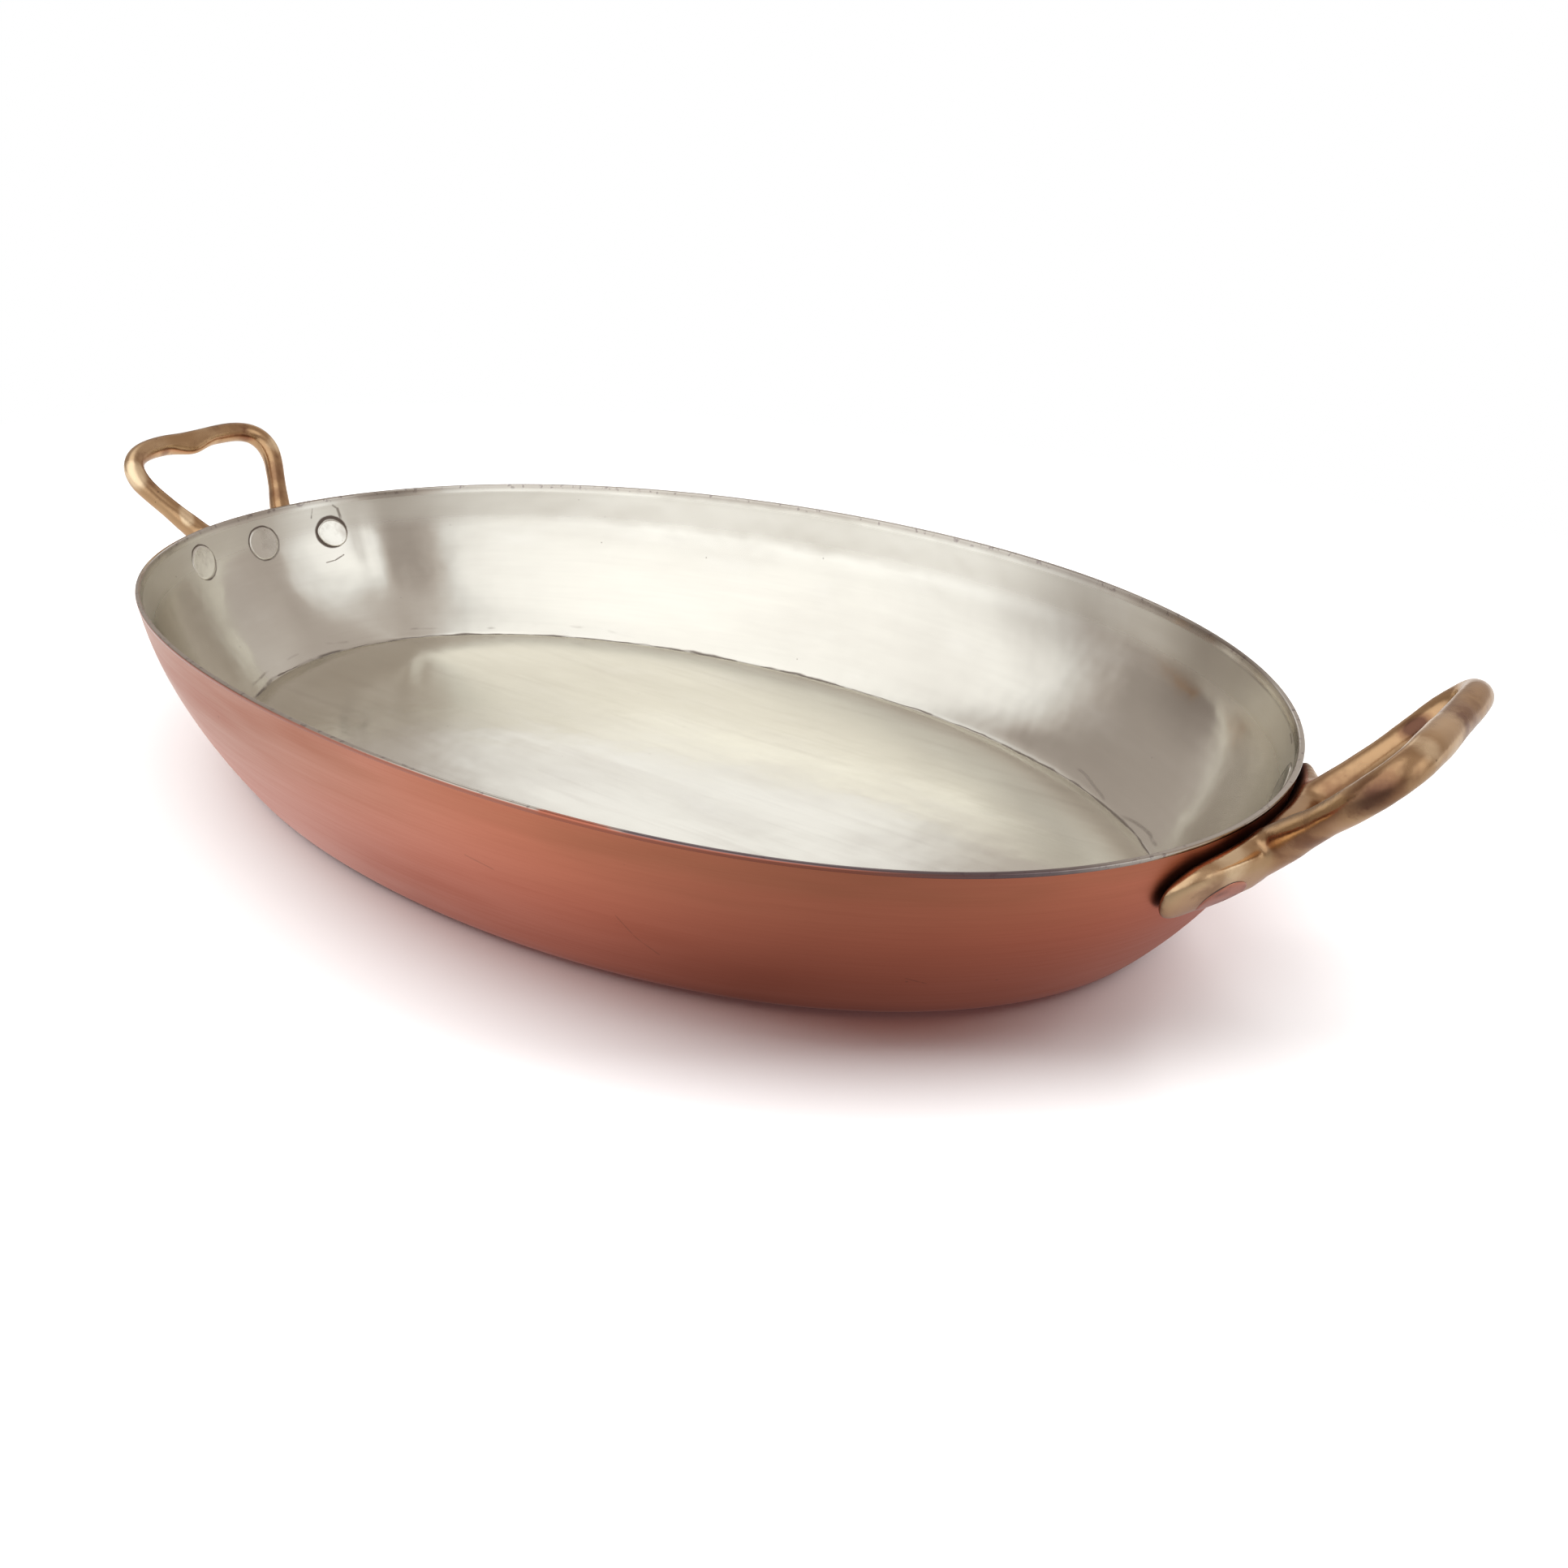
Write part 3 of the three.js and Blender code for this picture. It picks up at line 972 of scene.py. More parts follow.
    def loop(self) -> Piece:
        """Models the loop: an oval bar, swollen at its roots, with a nub inside the grip.

        Returns:
            The loop.
        """
        count = 170
        points, ahead, length = self.loop_line(count)
        sleeve = Sleeve(f"{self.node}_loop", 28, count)
        reach, across = points[sleeve.row].T
        toward, along = ahead[sleeve.row].T
        share = sleeve.row / (count - 1)
        from_start = np.minimum(share, 1 - share) * length
        from_root = np.maximum(0, from_start - self.sink)
        swell = 1 + self.root_swell * np.exp(-((from_root / self.root_swell_length) ** 2))
        swell = swell * np.sqrt(np.clip(from_start / (5 * MM), 0.05, 1))
        cast = 1 + 0.03 * np.sin(19 * share + 0.7) + 0.025 * np.sin(43 * share + 2.1)
        nub_share = np.clip(1 - 2 * np.abs(across + 1.5 * MM) / self.nub_length, 0, 1)
        nub = self.nub_height * nub_share * nub_share * (3 - 2 * nub_share) * (reach > self.loop_reach / 2)
        wide = np.cos(sleeve.turn)
        half = swell * cast * self.bar_width / 2
        out = wide * half - nub * np.clip(-wide, 0, 1) ** 2
        rise = np.sin(sleeve.turn) * swell * cast * self.bar_depth / 2
        places = self.at(reach + out * along, across - out * toward, rise)
        return sleeve.shape(places, self.at(*points[0], 0.0), self.at(*points[-1], 0.0))

    def gaps(self, places: Array) -> tuple[Array, Array, Array]:
        """Measures how far the low part of the casting is from the wall.

        Args:
            places: The casting's vertices.

        Returns:
            Which vertices are low, their distances, and the wall's normal at each.
        """
        low = places[:, 2] < self.form.height + 2 * MM
        angle, share = self.form.locate(self.end, places[low, 1], places[low, 2])
        wall, normal = self.form.wall(angle, share), self.form.normal(angle, share)
        return low, (places[low, 0] - wall[:, 0]) * normal[:, 0], normal

    def seat(self, piece: Piece) -> None:
        """Keeps the casting's back off the pan's wall.

        Args:
            piece: The joined casting.
        """
        places = places_of(piece)
        low, gap, normal = self.gaps(places)
        push = np.clip(self.clearance - gap, 0, None) / normal[:, 0]
        places[low, 0] += push
        set_places(piece, places)

    def fair_roots(self, piece: Piece) -> None:
        """Runs the legs into the plate with a wide soft hollow, as a casting has it.

        Args:
            piece: The joined casting.
        """
        roots = piece.vertex_groups.new(name="roots")
        places = places_of(piece)
        weight = np.zeros(len(places))
        for side in (-1, 1):
            away = np.linalg.norm(places - self.at(1.5 * MM, side * self.hollow_across, 0.0), axis=1)
            weight = np.maximum(weight, np.exp(-((away / self.hollow_reach) ** 2)))
        least = 0.03
        for index in np.flatnonzero(weight > least):
            roots.add([int(index)], float(weight[index]), "REPLACE")
        self.soften(piece, 110, "roots")
        piece.vertex_groups.clear()

    def soften(self, piece: Piece, rounds: int, part: str = "") -> None:
        """Smooths a piece.

        Args:
            piece: The piece.
            rounds: How often.
            part: The vertex group to smooth, or none for all of it.
        """
        modifier = piece.modifiers.new("soften", "SMOOTH")
        modifier.factor, modifier.iterations, modifier.vertex_group = 0.5, rounds, part
        settle(piece, modifier)

    def spots(self, places: Array, patches: Patches) -> Array:
        """Fades patches out around their middles.

        Args:
            places: The casting's vertices.
            patches: The patches.

        Returns:
            The strongest patch at each vertex, from 0 to 1.
        """
        outward = self.axes()[1]
        total = np.zeros(len(places))
        for *sizes, strength in patches:
            reach, across, rise, size = (each * MM for each in sizes)
            off = places - self.at(reach, across, rise)
            along = off @ outward
            rest = np.sum(off**2, axis=1) - along**2
            patch = np.exp(-((along / (1.7 * size)) ** 2) - rest / size**2)
            total = np.maximum(total, patch * strength)
        return total

    def build(self, material: Material) -> None:
        """Models the casting, runs plate and loop together, and dresses it.

        Args:
            material: The brass.
        """
        piece, loop = self.cast_plate(), self.loop()
        self.seat(piece)
        self.seat(loop)
        hold(piece)
        loop.select_set(True)
        bpy.ops.object.join()
        remesh = piece.modifiers.new("run_together", "REMESH")
        remesh.mode, remesh.voxel_size = "VOXEL", self.voxel
        settle(piece, remesh)
        self.soften(piece, 22)
        self.fair_roots(piece)
        texture = bpy.data.textures.new(f"{self.node}_sand", "CLOUDS")
        texture.noise_scale, texture.noise_depth = 0.012, 1
        sand = piece.modifiers.new("sand", "DISPLACE")
        sand.texture, sand.texture_coords = texture, "LOCAL"
        sand.strength, sand.mid_level = self.sand, 0.5
        settle(piece, sand)
        self.seat(piece)
        face_outwards(piece)
        places = places_of(piece)
        low, gap, _ = self.gaps(places)
        # Painted shade where the casting's back comes close to the pan's wall.
        grime = np.zeros(len(places))
        grime[low] = np.clip((self.grime_start - gap) / self.grime_fade, 0, 1)
        paint(piece, "grime", grime)
        # Brown tarnish and painted dark reflections, in patches.
        paint(piece, "tarnish", self.spots(places, self.tarnish))
        # Painted highlights and rubbed brass, in patches.
        paint(piece, "rubbed", self.spots(places, self.rubbed))
        smooth(piece, 80)
        dress(piece, Slot.BRASS, material, self.node)


# Finishes


@dataclass(frozen=True, eq=False)
class Value:
    """A node's output, reckoned with like a number."""

    bench: "Bench"
    socket: Socket

    def __add__(self, other: "Input") -> "Value":
        """Adds a number or a value."""
        return self.bench.calc("ADD", self, other)

    def __sub__(self, other: "Input") -> "Value":
        """Takes a number or a value away."""
        return self.bench.calc("SUBTRACT", self, other)

    def __rsub__(self, other: "Input") -> "Value":
        """Takes this away from a number."""
        return self.bench.calc("SUBTRACT", other, self)

    def __mul__(self, other: "Input") -> "Value":
        """Multiplies by a number or a value."""
        return self.bench.calc("MULTIPLY", self, other)

    def __truediv__(self, other: "Input") -> "Value":
        """Divides by a number or a value."""
        return self.bench.calc("DIVIDE", self, other)

    def __abs__(self) -> "Value":
        """Drops the sign."""
        return self.bench.calc("ABSOLUTE", self)


Input = Value | float | Sequence[float]
Keyed = dict[int | str, Input]


@dataclass
class Bench:
    """Adds and links the nodes of one material or node group."""

    tree: Tree

    @cached_property
    def place(self) -> Value:
        """The piece's own coordinates."""
        return self.put("TexCoord", output="Object")

    @cached_property
    def xyz(self) -> tuple[Value, ...]:
        """The piece's coordinates one by one."""
        node = self.add("SeparateXYZ", {0: self.place})
        return tuple(self.read(node, axis) for axis in "XYZ")

    @cached_property
    def azimuth(self) -> Value:
        """The angle round Z, from +X towards +Y."""
        return self.calc("ARCTAN2", self.xyz[1], self.xyz[0])

    def add(self, kind: str, inputs: Keyed | None = None, **settings: object) -> Node:
        """Adds a node.

        Args:
            kind: Its type name, without the ShaderNode at its start.
            inputs: What goes into its inputs, by number or name.
            settings: Its properties.

        Returns:
            The node.
        """
        node = self.tree.nodes.new(f"ShaderNode{kind}")
        for name, setting in settings.items():
            setattr(node, name, setting)
        for key, value in (inputs or {}).items():
            self.feed(node.inputs[key], value)
        return node

    def read(self, node: Node, output: int | str = 0) -> Value:
        """One output of a node, by number or name."""
        return Value(self, node.outputs[output])

    def put(self, kind: str, inputs: Keyed | None = None, output: int | str = 0, **settings: object) -> Value:
        """Adds a node and gives one of its outputs, in the words of add and read."""
        return self.read(self.add(kind, inputs, **settings), output)

    def feed(self, socket: Socket, value: Input) -> None:
        """Links a socket, or sets its plain value.

        Args:
            socket: The input.
            value: A node's output, a number, or a row of numbers; a colour may leave its alpha out.
        """
        if isinstance(value, Value):
            self.tree.links.new(value.socket, socket)
        elif isinstance(value, (int, float)):
            socket.default_value = value
        else:
            socket.default_value = (*value, 1.0)[: len(socket.default_value)]

    def calc(self, operation: str, *values: Input, clamp: bool = False) -> Value:
        """Reckons with numbers, and keeps the result from 0 to 1 if asked to."""
        return self.put("Math", dict(enumerate(values)), operation=operation, use_clamp=clamp)

    def most(self, first: Value, *others: Input) -> Value:
        """Finds the greatest of several values.

        Args:
            first: The first of them.
            others: The others.

        Returns:
            The greatest.
        """
        for other in others:
            first = self.calc("MAXIMUM", first, other)
        return first

    def turn(self, operation: str, *values: Input) -> Value:
        """Reckons with vectors; the result is a number for a length, a distance or a product."""
        output = "Value" if operation in ("LENGTH", "DISTANCE", "DOT_PRODUCT") else "Vector"
        return self.put("VectorMath", dict(enumerate(values)), output, operation=operation)

    def grown(self, vector: Value, factor: Input) -> Value:
        """Multiplies a vector by a number."""
        return self.put("VectorMath", {0: vector, "Scale": factor}, operation="SCALE")

    def stored(self, name: str, vector: bool = False) -> Value:
        """A value, or a vector, that is stored on the mesh by name."""
        return self.put("Attribute", output="Vector" if vector else "Fac", attribute_name=name)

    def ray(self, kind: Ray) -> Value:
        """A 1 where light is traced for one thing."""
        return self.put("LightPath", output=f"Is {kind.value} Ray")

    def stretch(
        self, vector: Value, scale: Sequence[float] = (1, 1, 1), move: Sequence[float] = (0, 0, 0)
    ) -> Value:
        """Scales and moves a pattern's coordinates."""
        return self.put("Mapping", {"Vector": vector, "Scale": scale, "Location": move})

    def noise(self, vector: Value, scale: float, detail: float = 2.0, rough: float = 0.5) -> Value:
        """A noise pattern with its scale, detail and roughness."""
        return self.put("TexNoise", {"Vector": vector, "Scale": scale, "Detail": detail, "Roughness": rough})

    def band(self, value: Input, low: Input, high: Input, start: Input = 0.0, stop: Input = 1.0) -> Value:
        """Maps a value smoothly from between low and high to between start and stop."""
        inputs = dict(enumerate((value, low, high, start, stop)))
        return self.put("MapRange", inputs, interpolation_type="SMOOTHSTEP")

    def between(self, value: Input, first: float, full: float, still: float, last: float) -> Value:
        """Rises to 1 from first to full, and falls again from still to last."""
        return self.band(value, first, full) * self.band(value, still, last, 1.0, 0.0)

    def blend(self, share: Input, first: Input, second: Input, kind: str = "MIX") -> Value:
        """Mixes a share of a second colour into a first one, in one way of mixing."""
        inputs = {"Factor": share, 6: first, 7: second}
        return self.put("Mix", inputs, 2, data_type="RGBA", blend_type=kind)

    def coats(self, colour: Input, *coats: tuple[Input, Input]) -> Value:
        """Lays colours one over another.

        Args:
            colour: The lowest colour.
            coats: How much of each further one, and the colour.

        Returns:
            The colour of them all.
        """
        for share, over in coats:
            colour = self.blend(share, colour, over)
        return colour

    def mix(self, share: Input, first: Value, second: Value) -> Value:
        """Mixes a share of a second shader into a first one."""
        return self.put("MixShader", {0: share, 1: first, 2: second})

    def group(self, tree: Tree, **values: Input) -> dict[str, Value]:
        """Places a node group with its own values.

        Args:
            tree: The group.
            values: Its inputs by name.

        Returns:
            Its outputs by name.
        """
        node = self.add("Group", node_tree=tree)
        for name, value in values.items():
            self.feed(node.inputs[name], value)
        return {output.name: Value(self, output) for output in node.outputs}


class Metal(Bench):
    """The bench of a new metal material."""

    def __init__(self, name: str) -> None:
        """Starts the material.

        Args:
            name: Its name.
        """
        self.material = bpy.data.materials.new(name)
        self.material.use_nodes = True
        super().__init__(self.material.node_tree)
        self.shader = self.tree.nodes["Principled BSDF"]
        self.shader.inputs["Metallic"].default_value = 1.0
        self.shader.inputs["Roughness"].default_value = 0.3

    def finish(self, colour: Input, rough: Input, height: Value, depth: float) -> Material:
        """Feeds the shader.

        Args:
            colour: The metal's colour.
            rough: Its roughness.
            height: The height pattern of its surface.
            depth: How deep that pattern is.

        Returns:
            The material.
        """
        normal = self.put("Bump", {"Height": height, "Distance": depth})
        for name, value in (("Base Color", colour), ("Roughness", rough), ("Normal", normal)):
            self.feed(self.shader.inputs[name], value)
        return self.material


class Cloth(Bench):
    """The bench of a new material of the studio."""

    def __init__(self, name: str) -> None:
        """Starts the material without a node.

        Args:
            name: Its name.
        """
        self.material = bpy.data.materials.new(name)
        self.material.use_nodes = True
        super().__init__(self.material.node_tree)
        self.tree.nodes.clear()

    def cover(self, piece: Piece, surface: Value) -> None:
        """Ends the material with its surface and covers a piece of the studio with it."""
        self.add("OutputMaterial", {"Surface": surface})
        piece.data.materials.append(self.material)


def new_group(
    name: str, vectors: Sequence[str], numbers: Sequence[str], gives: Sequence[str] = ("Mask",)
) -> tuple[Bench, dict[str, Value], bpy.types.NodeInputs]:
    """Starts a node group.

    Args:
        name: The group's name.
        vectors: The names of the vectors that it takes.
        numbers: The names of the numbers that it takes.
        gives: The names of the numbers that it puts out.

    Returns:
        A bench in the group, what it takes by name, and the places for what it puts out.
    """
    tree = bpy.data.node_groups.new(name, "ShaderNodeTree")
    for names, kind, way in ((vectors, "Vector", "INPUT"), (numbers, "Float", "INPUT"), (gives, "Float", "OUTPUT")):
        for each in names:
            tree.interface.new_socket(each, in_out=way, socket_type=f"NodeSocket{kind}")
    bench = Bench(tree)
    taken = tree.nodes.new("NodeGroupInput")
    given = {each: bench.read(taken, each) for each in (*vectors, *numbers)}
    return bench, given, tree.nodes.new("NodeGroupOutput").inputs


@dataclass(frozen=True)
class Ring:
    """Grime round a rivet's head; round a leaning head it also paints the shade of the sunken edge.

    Attributes:
        centre: The head's middle.
        radius: The ring's radius.
        width: Its width.
        breaks: How broken it is, from 0 to 1.
    """

    centre: Point
    radius: float
    width: float
    breaks: float


class Effects:
    """Surface effects that several finishes share, each built once as a node group."""

    def __init__(self) -> None:
        """Builds the groups."""
        self.brushing = self.make_brushing()
        self.ring = self.make_ring()
        self.scratch = self.make_scratch()
        self.speck = self.make_speck()

    def make_brushing(self) -> Tree:
        """Fine streaks along a grain vector: their shade, and their height for a bump.

        Returns:
            The group.
        """
        bench, given, out = new_group("fine_brushing", ["Grain"], ["Fineness"], ["Shade", "Height"])
        scaled = bench.grown(given["Grain"], given["Fineness"])
        fine = bench.noise(bench.stretch(scaled, (44, 44, 1900)), 1.0, 3, 0.62)
        broad = bench.noise(bench.stretch(scaled, (14, 14, 520), (3, 1, 7)), 1.0, 3, 0.55)
        bench.feed(out["Shade"], bench.band(fine * 0.55 + broad * 0.45, 0.32, 0.68))
        bench.feed(out["Height"], fine)
        return bench.tree

    def make_ring(self) -> Tree:
        """A thin uneven ring about a centre, such as the grime round a rivet's head.

        Returns:
            The group.
        """
        bench, given, out = new_group("grime_ring", ["Place", "Centre"], ["Radius", "Width", "Breaks"])
        place = given["Place"]
        wobble = (bench.noise(place, 420.0, 3, 0.6) - 0.5) * (0.5 * MM)
        off = bench.turn("DISTANCE", place, given["Centre"]) - given["Radius"] + wobble
        line = bench.band(abs(off) / given["Width"], 0.35, 1.0, 1.0, 0.0)
        patchy = bench.band(bench.noise(place, 190.0, 2), 0.38, 0.58)
        kept = 1.0 - given["Breaks"] * (1.0 - patchy)
        bench.feed(out["Mask"], bench.calc("MULTIPLY", line, kept, clamp=True))
        return bench.tree

    def make_scratch(self) -> Tree:
        """A straight mark from one point to another, a little broken along its way.

        Returns:
            The group.
        """
        bench, given, out = new_group("scratch", ["Place", "Start", "Stop"], ["Width"])
        way = bench.turn("SUBTRACT", given["Stop"], given["Start"])
        here = bench.turn("SUBTRACT", given["Place"], given["Start"])
        reach, whole = bench.turn("DOT_PRODUCT", here, way), bench.turn("DOT_PRODUCT", way, way)
        share = bench.calc("DIVIDE", reach, whole, clamp=True)
        away = bench.turn("DISTANCE", here, bench.grown(way, share))
        line = bench.band(away / given["Width"], 0.3, 1.0, 1.0, 0.0)
        patchy = bench.band(bench.noise(given["Place"], 700.0, 2), 0.3, 0.5, 0.25, 1.0)
        bench.feed(out["Mask"], line * patchy)
        return bench.tree

    def make_speck(self) -> Tree:
        """Tiny scattered pits and specks.

        Returns:
            The group.
        """
        bench, given, out = new_group("specks", ["Place"], ["Scale", "Size", "Share"])
        cells = bench.add("TexVoronoi", {"Vector": given["Place"], "Scale": given["Scale"]})
        dot = bench.band(bench.read(cells, "Distance") / given["Size"], 0.5, 1.0, 1.0, 0.0)
        pick = bench.put("SeparateColor", {0: bench.read(cells, "Color")})
        bench.feed(out["Mask"], dot * bench.calc("LESS_THAN", pick, given["Share"]))
        return bench.tree

    def rings(self, bench: Bench, rings: Sequence[Ring]) -> Value:
        """Draws rings on a finish.

        Args:
            bench: The finish's bench.
            rings: The rings.

        Returns:
            Their mask.
        """
        made = []
        for ring in rings:
            sizes = {"Radius": ring.radius, "Width": ring.width, "Breaks": ring.breaks}
            made.append(bench.group(self.ring, Place=bench.place, Centre=ring.centre, **sizes)["Mask"])
        return bench.most(*made)

    def scratches(self, bench: Bench, form: PanForm, lines: Sequence[Line], depth: float) -> Value:
        """Draws scratches on a finish of the pan.

        Args:
            bench: The finish's bench.
            form: The pan's form.
            lines: The scratches.
            depth: How deep they lie behind the wall's outside, 0 for scratches of the outside.

        Returns:
            Their mask.
        """
        made = []
        for *ends, width in lines:
            start, stop = (form.spot(*end, depth) for end in ends)
            mark = bench.group(self.scratch, Place=bench.place, Start=start, Stop=stop, Width=width * MM)
            made.append(mark["Mask"])
        return bench.most(*made)

    def specks(self, bench: Bench, scale: float, size: float, share: float) -> Value:
        """Strews specks: how many to a metre, how big beside their cell, and the share of cells with one."""
        return bench.group(self.speck, Place=bench.place, Scale=scale, Size=size, Share=share)["Mask"]


@dataclass(frozen=True)
class TinFinish:
    """Wiped tin: a warm grey sheen with wipe patches, streaks, specks and dark residue, with painted shade in patches
    and at the lip, and a painted highlight high on the far wall.

    Attributes:
        depth: How far the tin's face lies behind the wall's outside.
        lines: The scratches by the rivets.
        painted_shade_patches: Patches of painted shade on the walls: middle, reach and strength.
    """

    form: PanForm
    effects: Effects
    rings: tuple[Ring, ...]
    depth: float = 1.72 * MM
    tin: Colour = (0.79, 0.765, 0.69)
    shadow_tin: Colour = (0.60, 0.56, 0.50)
    pale_tin: Colour = (0.85, 0.83, 0.77)
    # Painted highlight: the near-white tin high on the far wall.
    painted_highlight_tin: Colour = (0.97, 0.955, 0.88)
    residue: Colour = (0.13, 0.085, 0.07)
    # Painted shade: a soft dark line under the lip.
    under_lip_shade: Colour = (0.26, 0.21, 0.19)
    # Painted shade: the colour that dims the tin in patches.
    painted_shade_tin: Colour = (0.40, 0.36, 0.315)
    bare_copper: Colour = (0.6, 0.21, 0.135)
    dim_copper: Colour = (0.42, 0.14, 0.09)
    # Painted shade that dims the tin of the lip.
    lip_shade: Colour = (0.74, 0.71, 0.7)
    oxide: Colour = (0.17, 0.11, 0.14)
    lines: tuple[Line, ...] = (
        ((165.3, 46.6), (164.6, 45.2), 0.5),
        ((164.6, 45.2), (164.4, 42.0), 0.7),
        ((169.0, 46.6), (169.6, 43.4), 0.35),
        ((169.2, 27.6), (167.4, 27.9), 0.3),
        ((167.4, 27.9), (165.6, 29.2), 0.35),
        ((17.6, 45.6), (19.6, 45.9), 0.5),
    )
    painted_shade_patches: tuple[tuple[Point, float, float], ...] = (
        ((0.132, 0.073, 0.046), 32 * MM, 0.85),
        ((0.076, 0.098, 0.040), 30 * MM, 0.45),
        ((-0.160, -0.030, 0.020), 30 * MM, 0.2),
    )

    def marks(self, bench: Bench) -> Value:
        """Adds up the dark marks by the rivets and on the walls.

        Args:
            bench: The material's bench.

        Returns:
            The mask of all marks.
        """
        rings = self.effects.rings(bench, self.rings)
        lines = self.effects.scratches(bench, self.form, self.lines, self.depth)
        specks = self.effects.specks(bench, 210.0, 0.07, 0.08)
        return bench.most(rings, lines * 0.7, specks * 0.5)

    def crease(self, bench: Bench) -> Value:
        """The broken line of residue where the wall meets the floor.

        Args:
            bench: The material's bench.

        Returns:
            Its mask.
        """
        place, way = bench.place, bench.stored("way")
        swing, middle, thin, thick = 2.2 * MM, 0.6 * MM, 0.2 * MM, 0.8 * MM
        second_near, second_far, core, edge = 1.2 * MM, 3.6 * MM, 0.05 * MM, 0.5 * MM
        drift = (bench.noise(place, 60.0, 2) - 0.5) * swing
        uneven = bench.noise(bench.stretch(place, move=(5, 2, 0)), 55.0, 3, 0.6)
        width = bench.band(uneven, 0.35, 0.72, thin, thick)
        line = bench.band(abs(way - (drift + middle)) / width, 0.2, 1.0, 1.0, 0.0)
        wander = bench.band(bench.noise(place, 24.0, 2), 0.3, 0.7, second_near, second_far)
        second = bench.band(abs(way - (drift + wander)), core, edge, 0.55, 0.0)
        streaks = bench.band(bench.noise(bench.stretch(place, move=(1, 8, 0)), 75.0, 2), 0.5, 0.62)
        at_ends = bench.band(abs(bench.xyz[0]), 0.07, 0.11)
        breaks = bench.band(bench.noise(place, 110.0, 2), 0.34, 0.5, 0.3, 0.85)
        return bench.most(line, second * streaks * at_ends) * breaks

    def rim_colour(self, bench: Bench, tin: Value) -> Value:
        """Colours the lip: tin, a bare copper wedge and the darkened stretch beside it, with painted shade dimming
        the lip and a painted shade line under it at the right end.

        Args:
            bench: The material's bench.
            tin: The colour of the tin.

        Returns:
            The colour of lip and lining together.
        """
        place, lip = bench.place, bench.stored("lip")
        angle = bench.azimuth + (bench.noise(place, 120.0, 3, 0.6) - 0.5) * 0.12
        dark = bench.between(angle, -0.93, -0.86, -0.42, -0.2)
        copper = bench.between(angle, -1.05, -1.03, -0.93, -0.88)
        worn = bench.band(bench.noise(place, 520.0, 3, 0.6), 0.56, 0.68)
        at_right = bench.band(bench.xyz[0], 0.12, 0.155)
        skirt = bench.band(lip, 0.86, 0.93) * bench.calc("SUBTRACT", 0.95, at_right, clamp=True)
        coat = bench.coats(
            tin,
            (worn * 0.45, self.oxide),
            (dark * (bench.band(lip, 0.62, 0.8) * 0.85), self.oxide),
            (copper * bench.band(lip, 0.72, 0.8), self.bare_copper),
            (skirt, self.dim_copper),
        )
        # Painted shade: the lip's tin is dimmed.
        coat = bench.blend(1.0 - skirt, coat, self.lip_shade, "MULTIPLY")
        # Painted shade: a soft dark line under the lip at the right end.
        patchy = bench.band(bench.noise(place, 45.0, 3), 0.35, 0.55, 0.2, 0.6)
        under = bench.between(lip, 0.03, 0.13, 0.15, 0.34) * patchy * at_right
        return bench.coats(tin, (under, self.under_lip_shade), (bench.band(lip, 0.3, 0.55), coat))

    def material(self) -> Material:
        """Builds the material.

        Returns:
            The material.
        """
        bench = Metal("wiped_tin")
        place, grain, way = bench.place, bench.stored("grain", vector=True), bench.stored("way")
        wipes = bench.noise(bench.stretch(grain, (11, 11, 42)), 1.0, 4, 0.55)
        patches = bench.noise(bench.stretch(grain, (30, 30, 66), (4, 1, 2)), 1.0, 3, 0.5)
        streaks = bench.noise(bench.stretch(grain, (16, 16, 230)), 1.0, 4, 0.6)
        fine = bench.group(self.effects.brushing, Grain=grain, Fineness=1.0)
        streaky = bench.band(way, 0.0, -2 * MM) * 0.2 + 0.08
        colour = bench.coats(
            self.tin,
            (bench.band(wipes, 0.42, 0.75, 0.0, 0.3), self.shadow_tin),
            (bench.band(patches, 0.5, 0.75, 0.0, 0.5), self.pale_tin),
            (bench.band(streaks, 0.48, 0.75) * streaky, self.shadow_tin),
            (fine["Shade"] * 0.07, self.shadow_tin),
        )
        # Painted shade: the tin is dimmed in soft patches on the walls.
        for middle, reach, strength in self.painted_shade_patches:
            uneven = bench.turn("DISTANCE", place, middle) + (patches - 0.5) * (0.4 * reach)
            colour = bench.blend(bench.band(uneven, 0.2 * reach, reach, strength, 0.0), colour, self.painted_shade_tin)
        x, y, _ = bench.xyz
        # Painted highlight: high on the middle of the far wall the tin is lightened.
        far = bench.band(y, 0.05, 0.09) * bench.band(x, 0.03, 0.09, 1.0, 0.0) * bench.band(x, -0.12, -0.08)
        far = far * bench.band(way, 30 * MM, 40 * MM, 0.0, 0.9)
        colour = self.rim_colour(bench, bench.blend(far, colour, self.painted_highlight_tin))
        # Dark residue and marks, with painted shade round a leaning rivet head.
        dirt_and_shade = bench.most(self.marks(bench), self.crease(bench))
        rough = bench.band(wipes * 0.5 + patches * 0.5, 0.35, 0.65, 0.1, 0.21)
        rough = bench.most(rough, bench.band(way, 32 * MM, 41 * MM, 0.1, 0.34), dirt_and_shade * 0.7)
        lumps = bench.noise(bench.stretch(place, move=(0, 3, 0)), 62.0, 2, 0.45)
        height = lumps * 3.4 + streaks * streaky + fine["Height"] * 0.012
        return bench.finish(bench.blend(dirt_and_shade * 0.85, colour, self.residue), rough, height, 0.06 * MM)


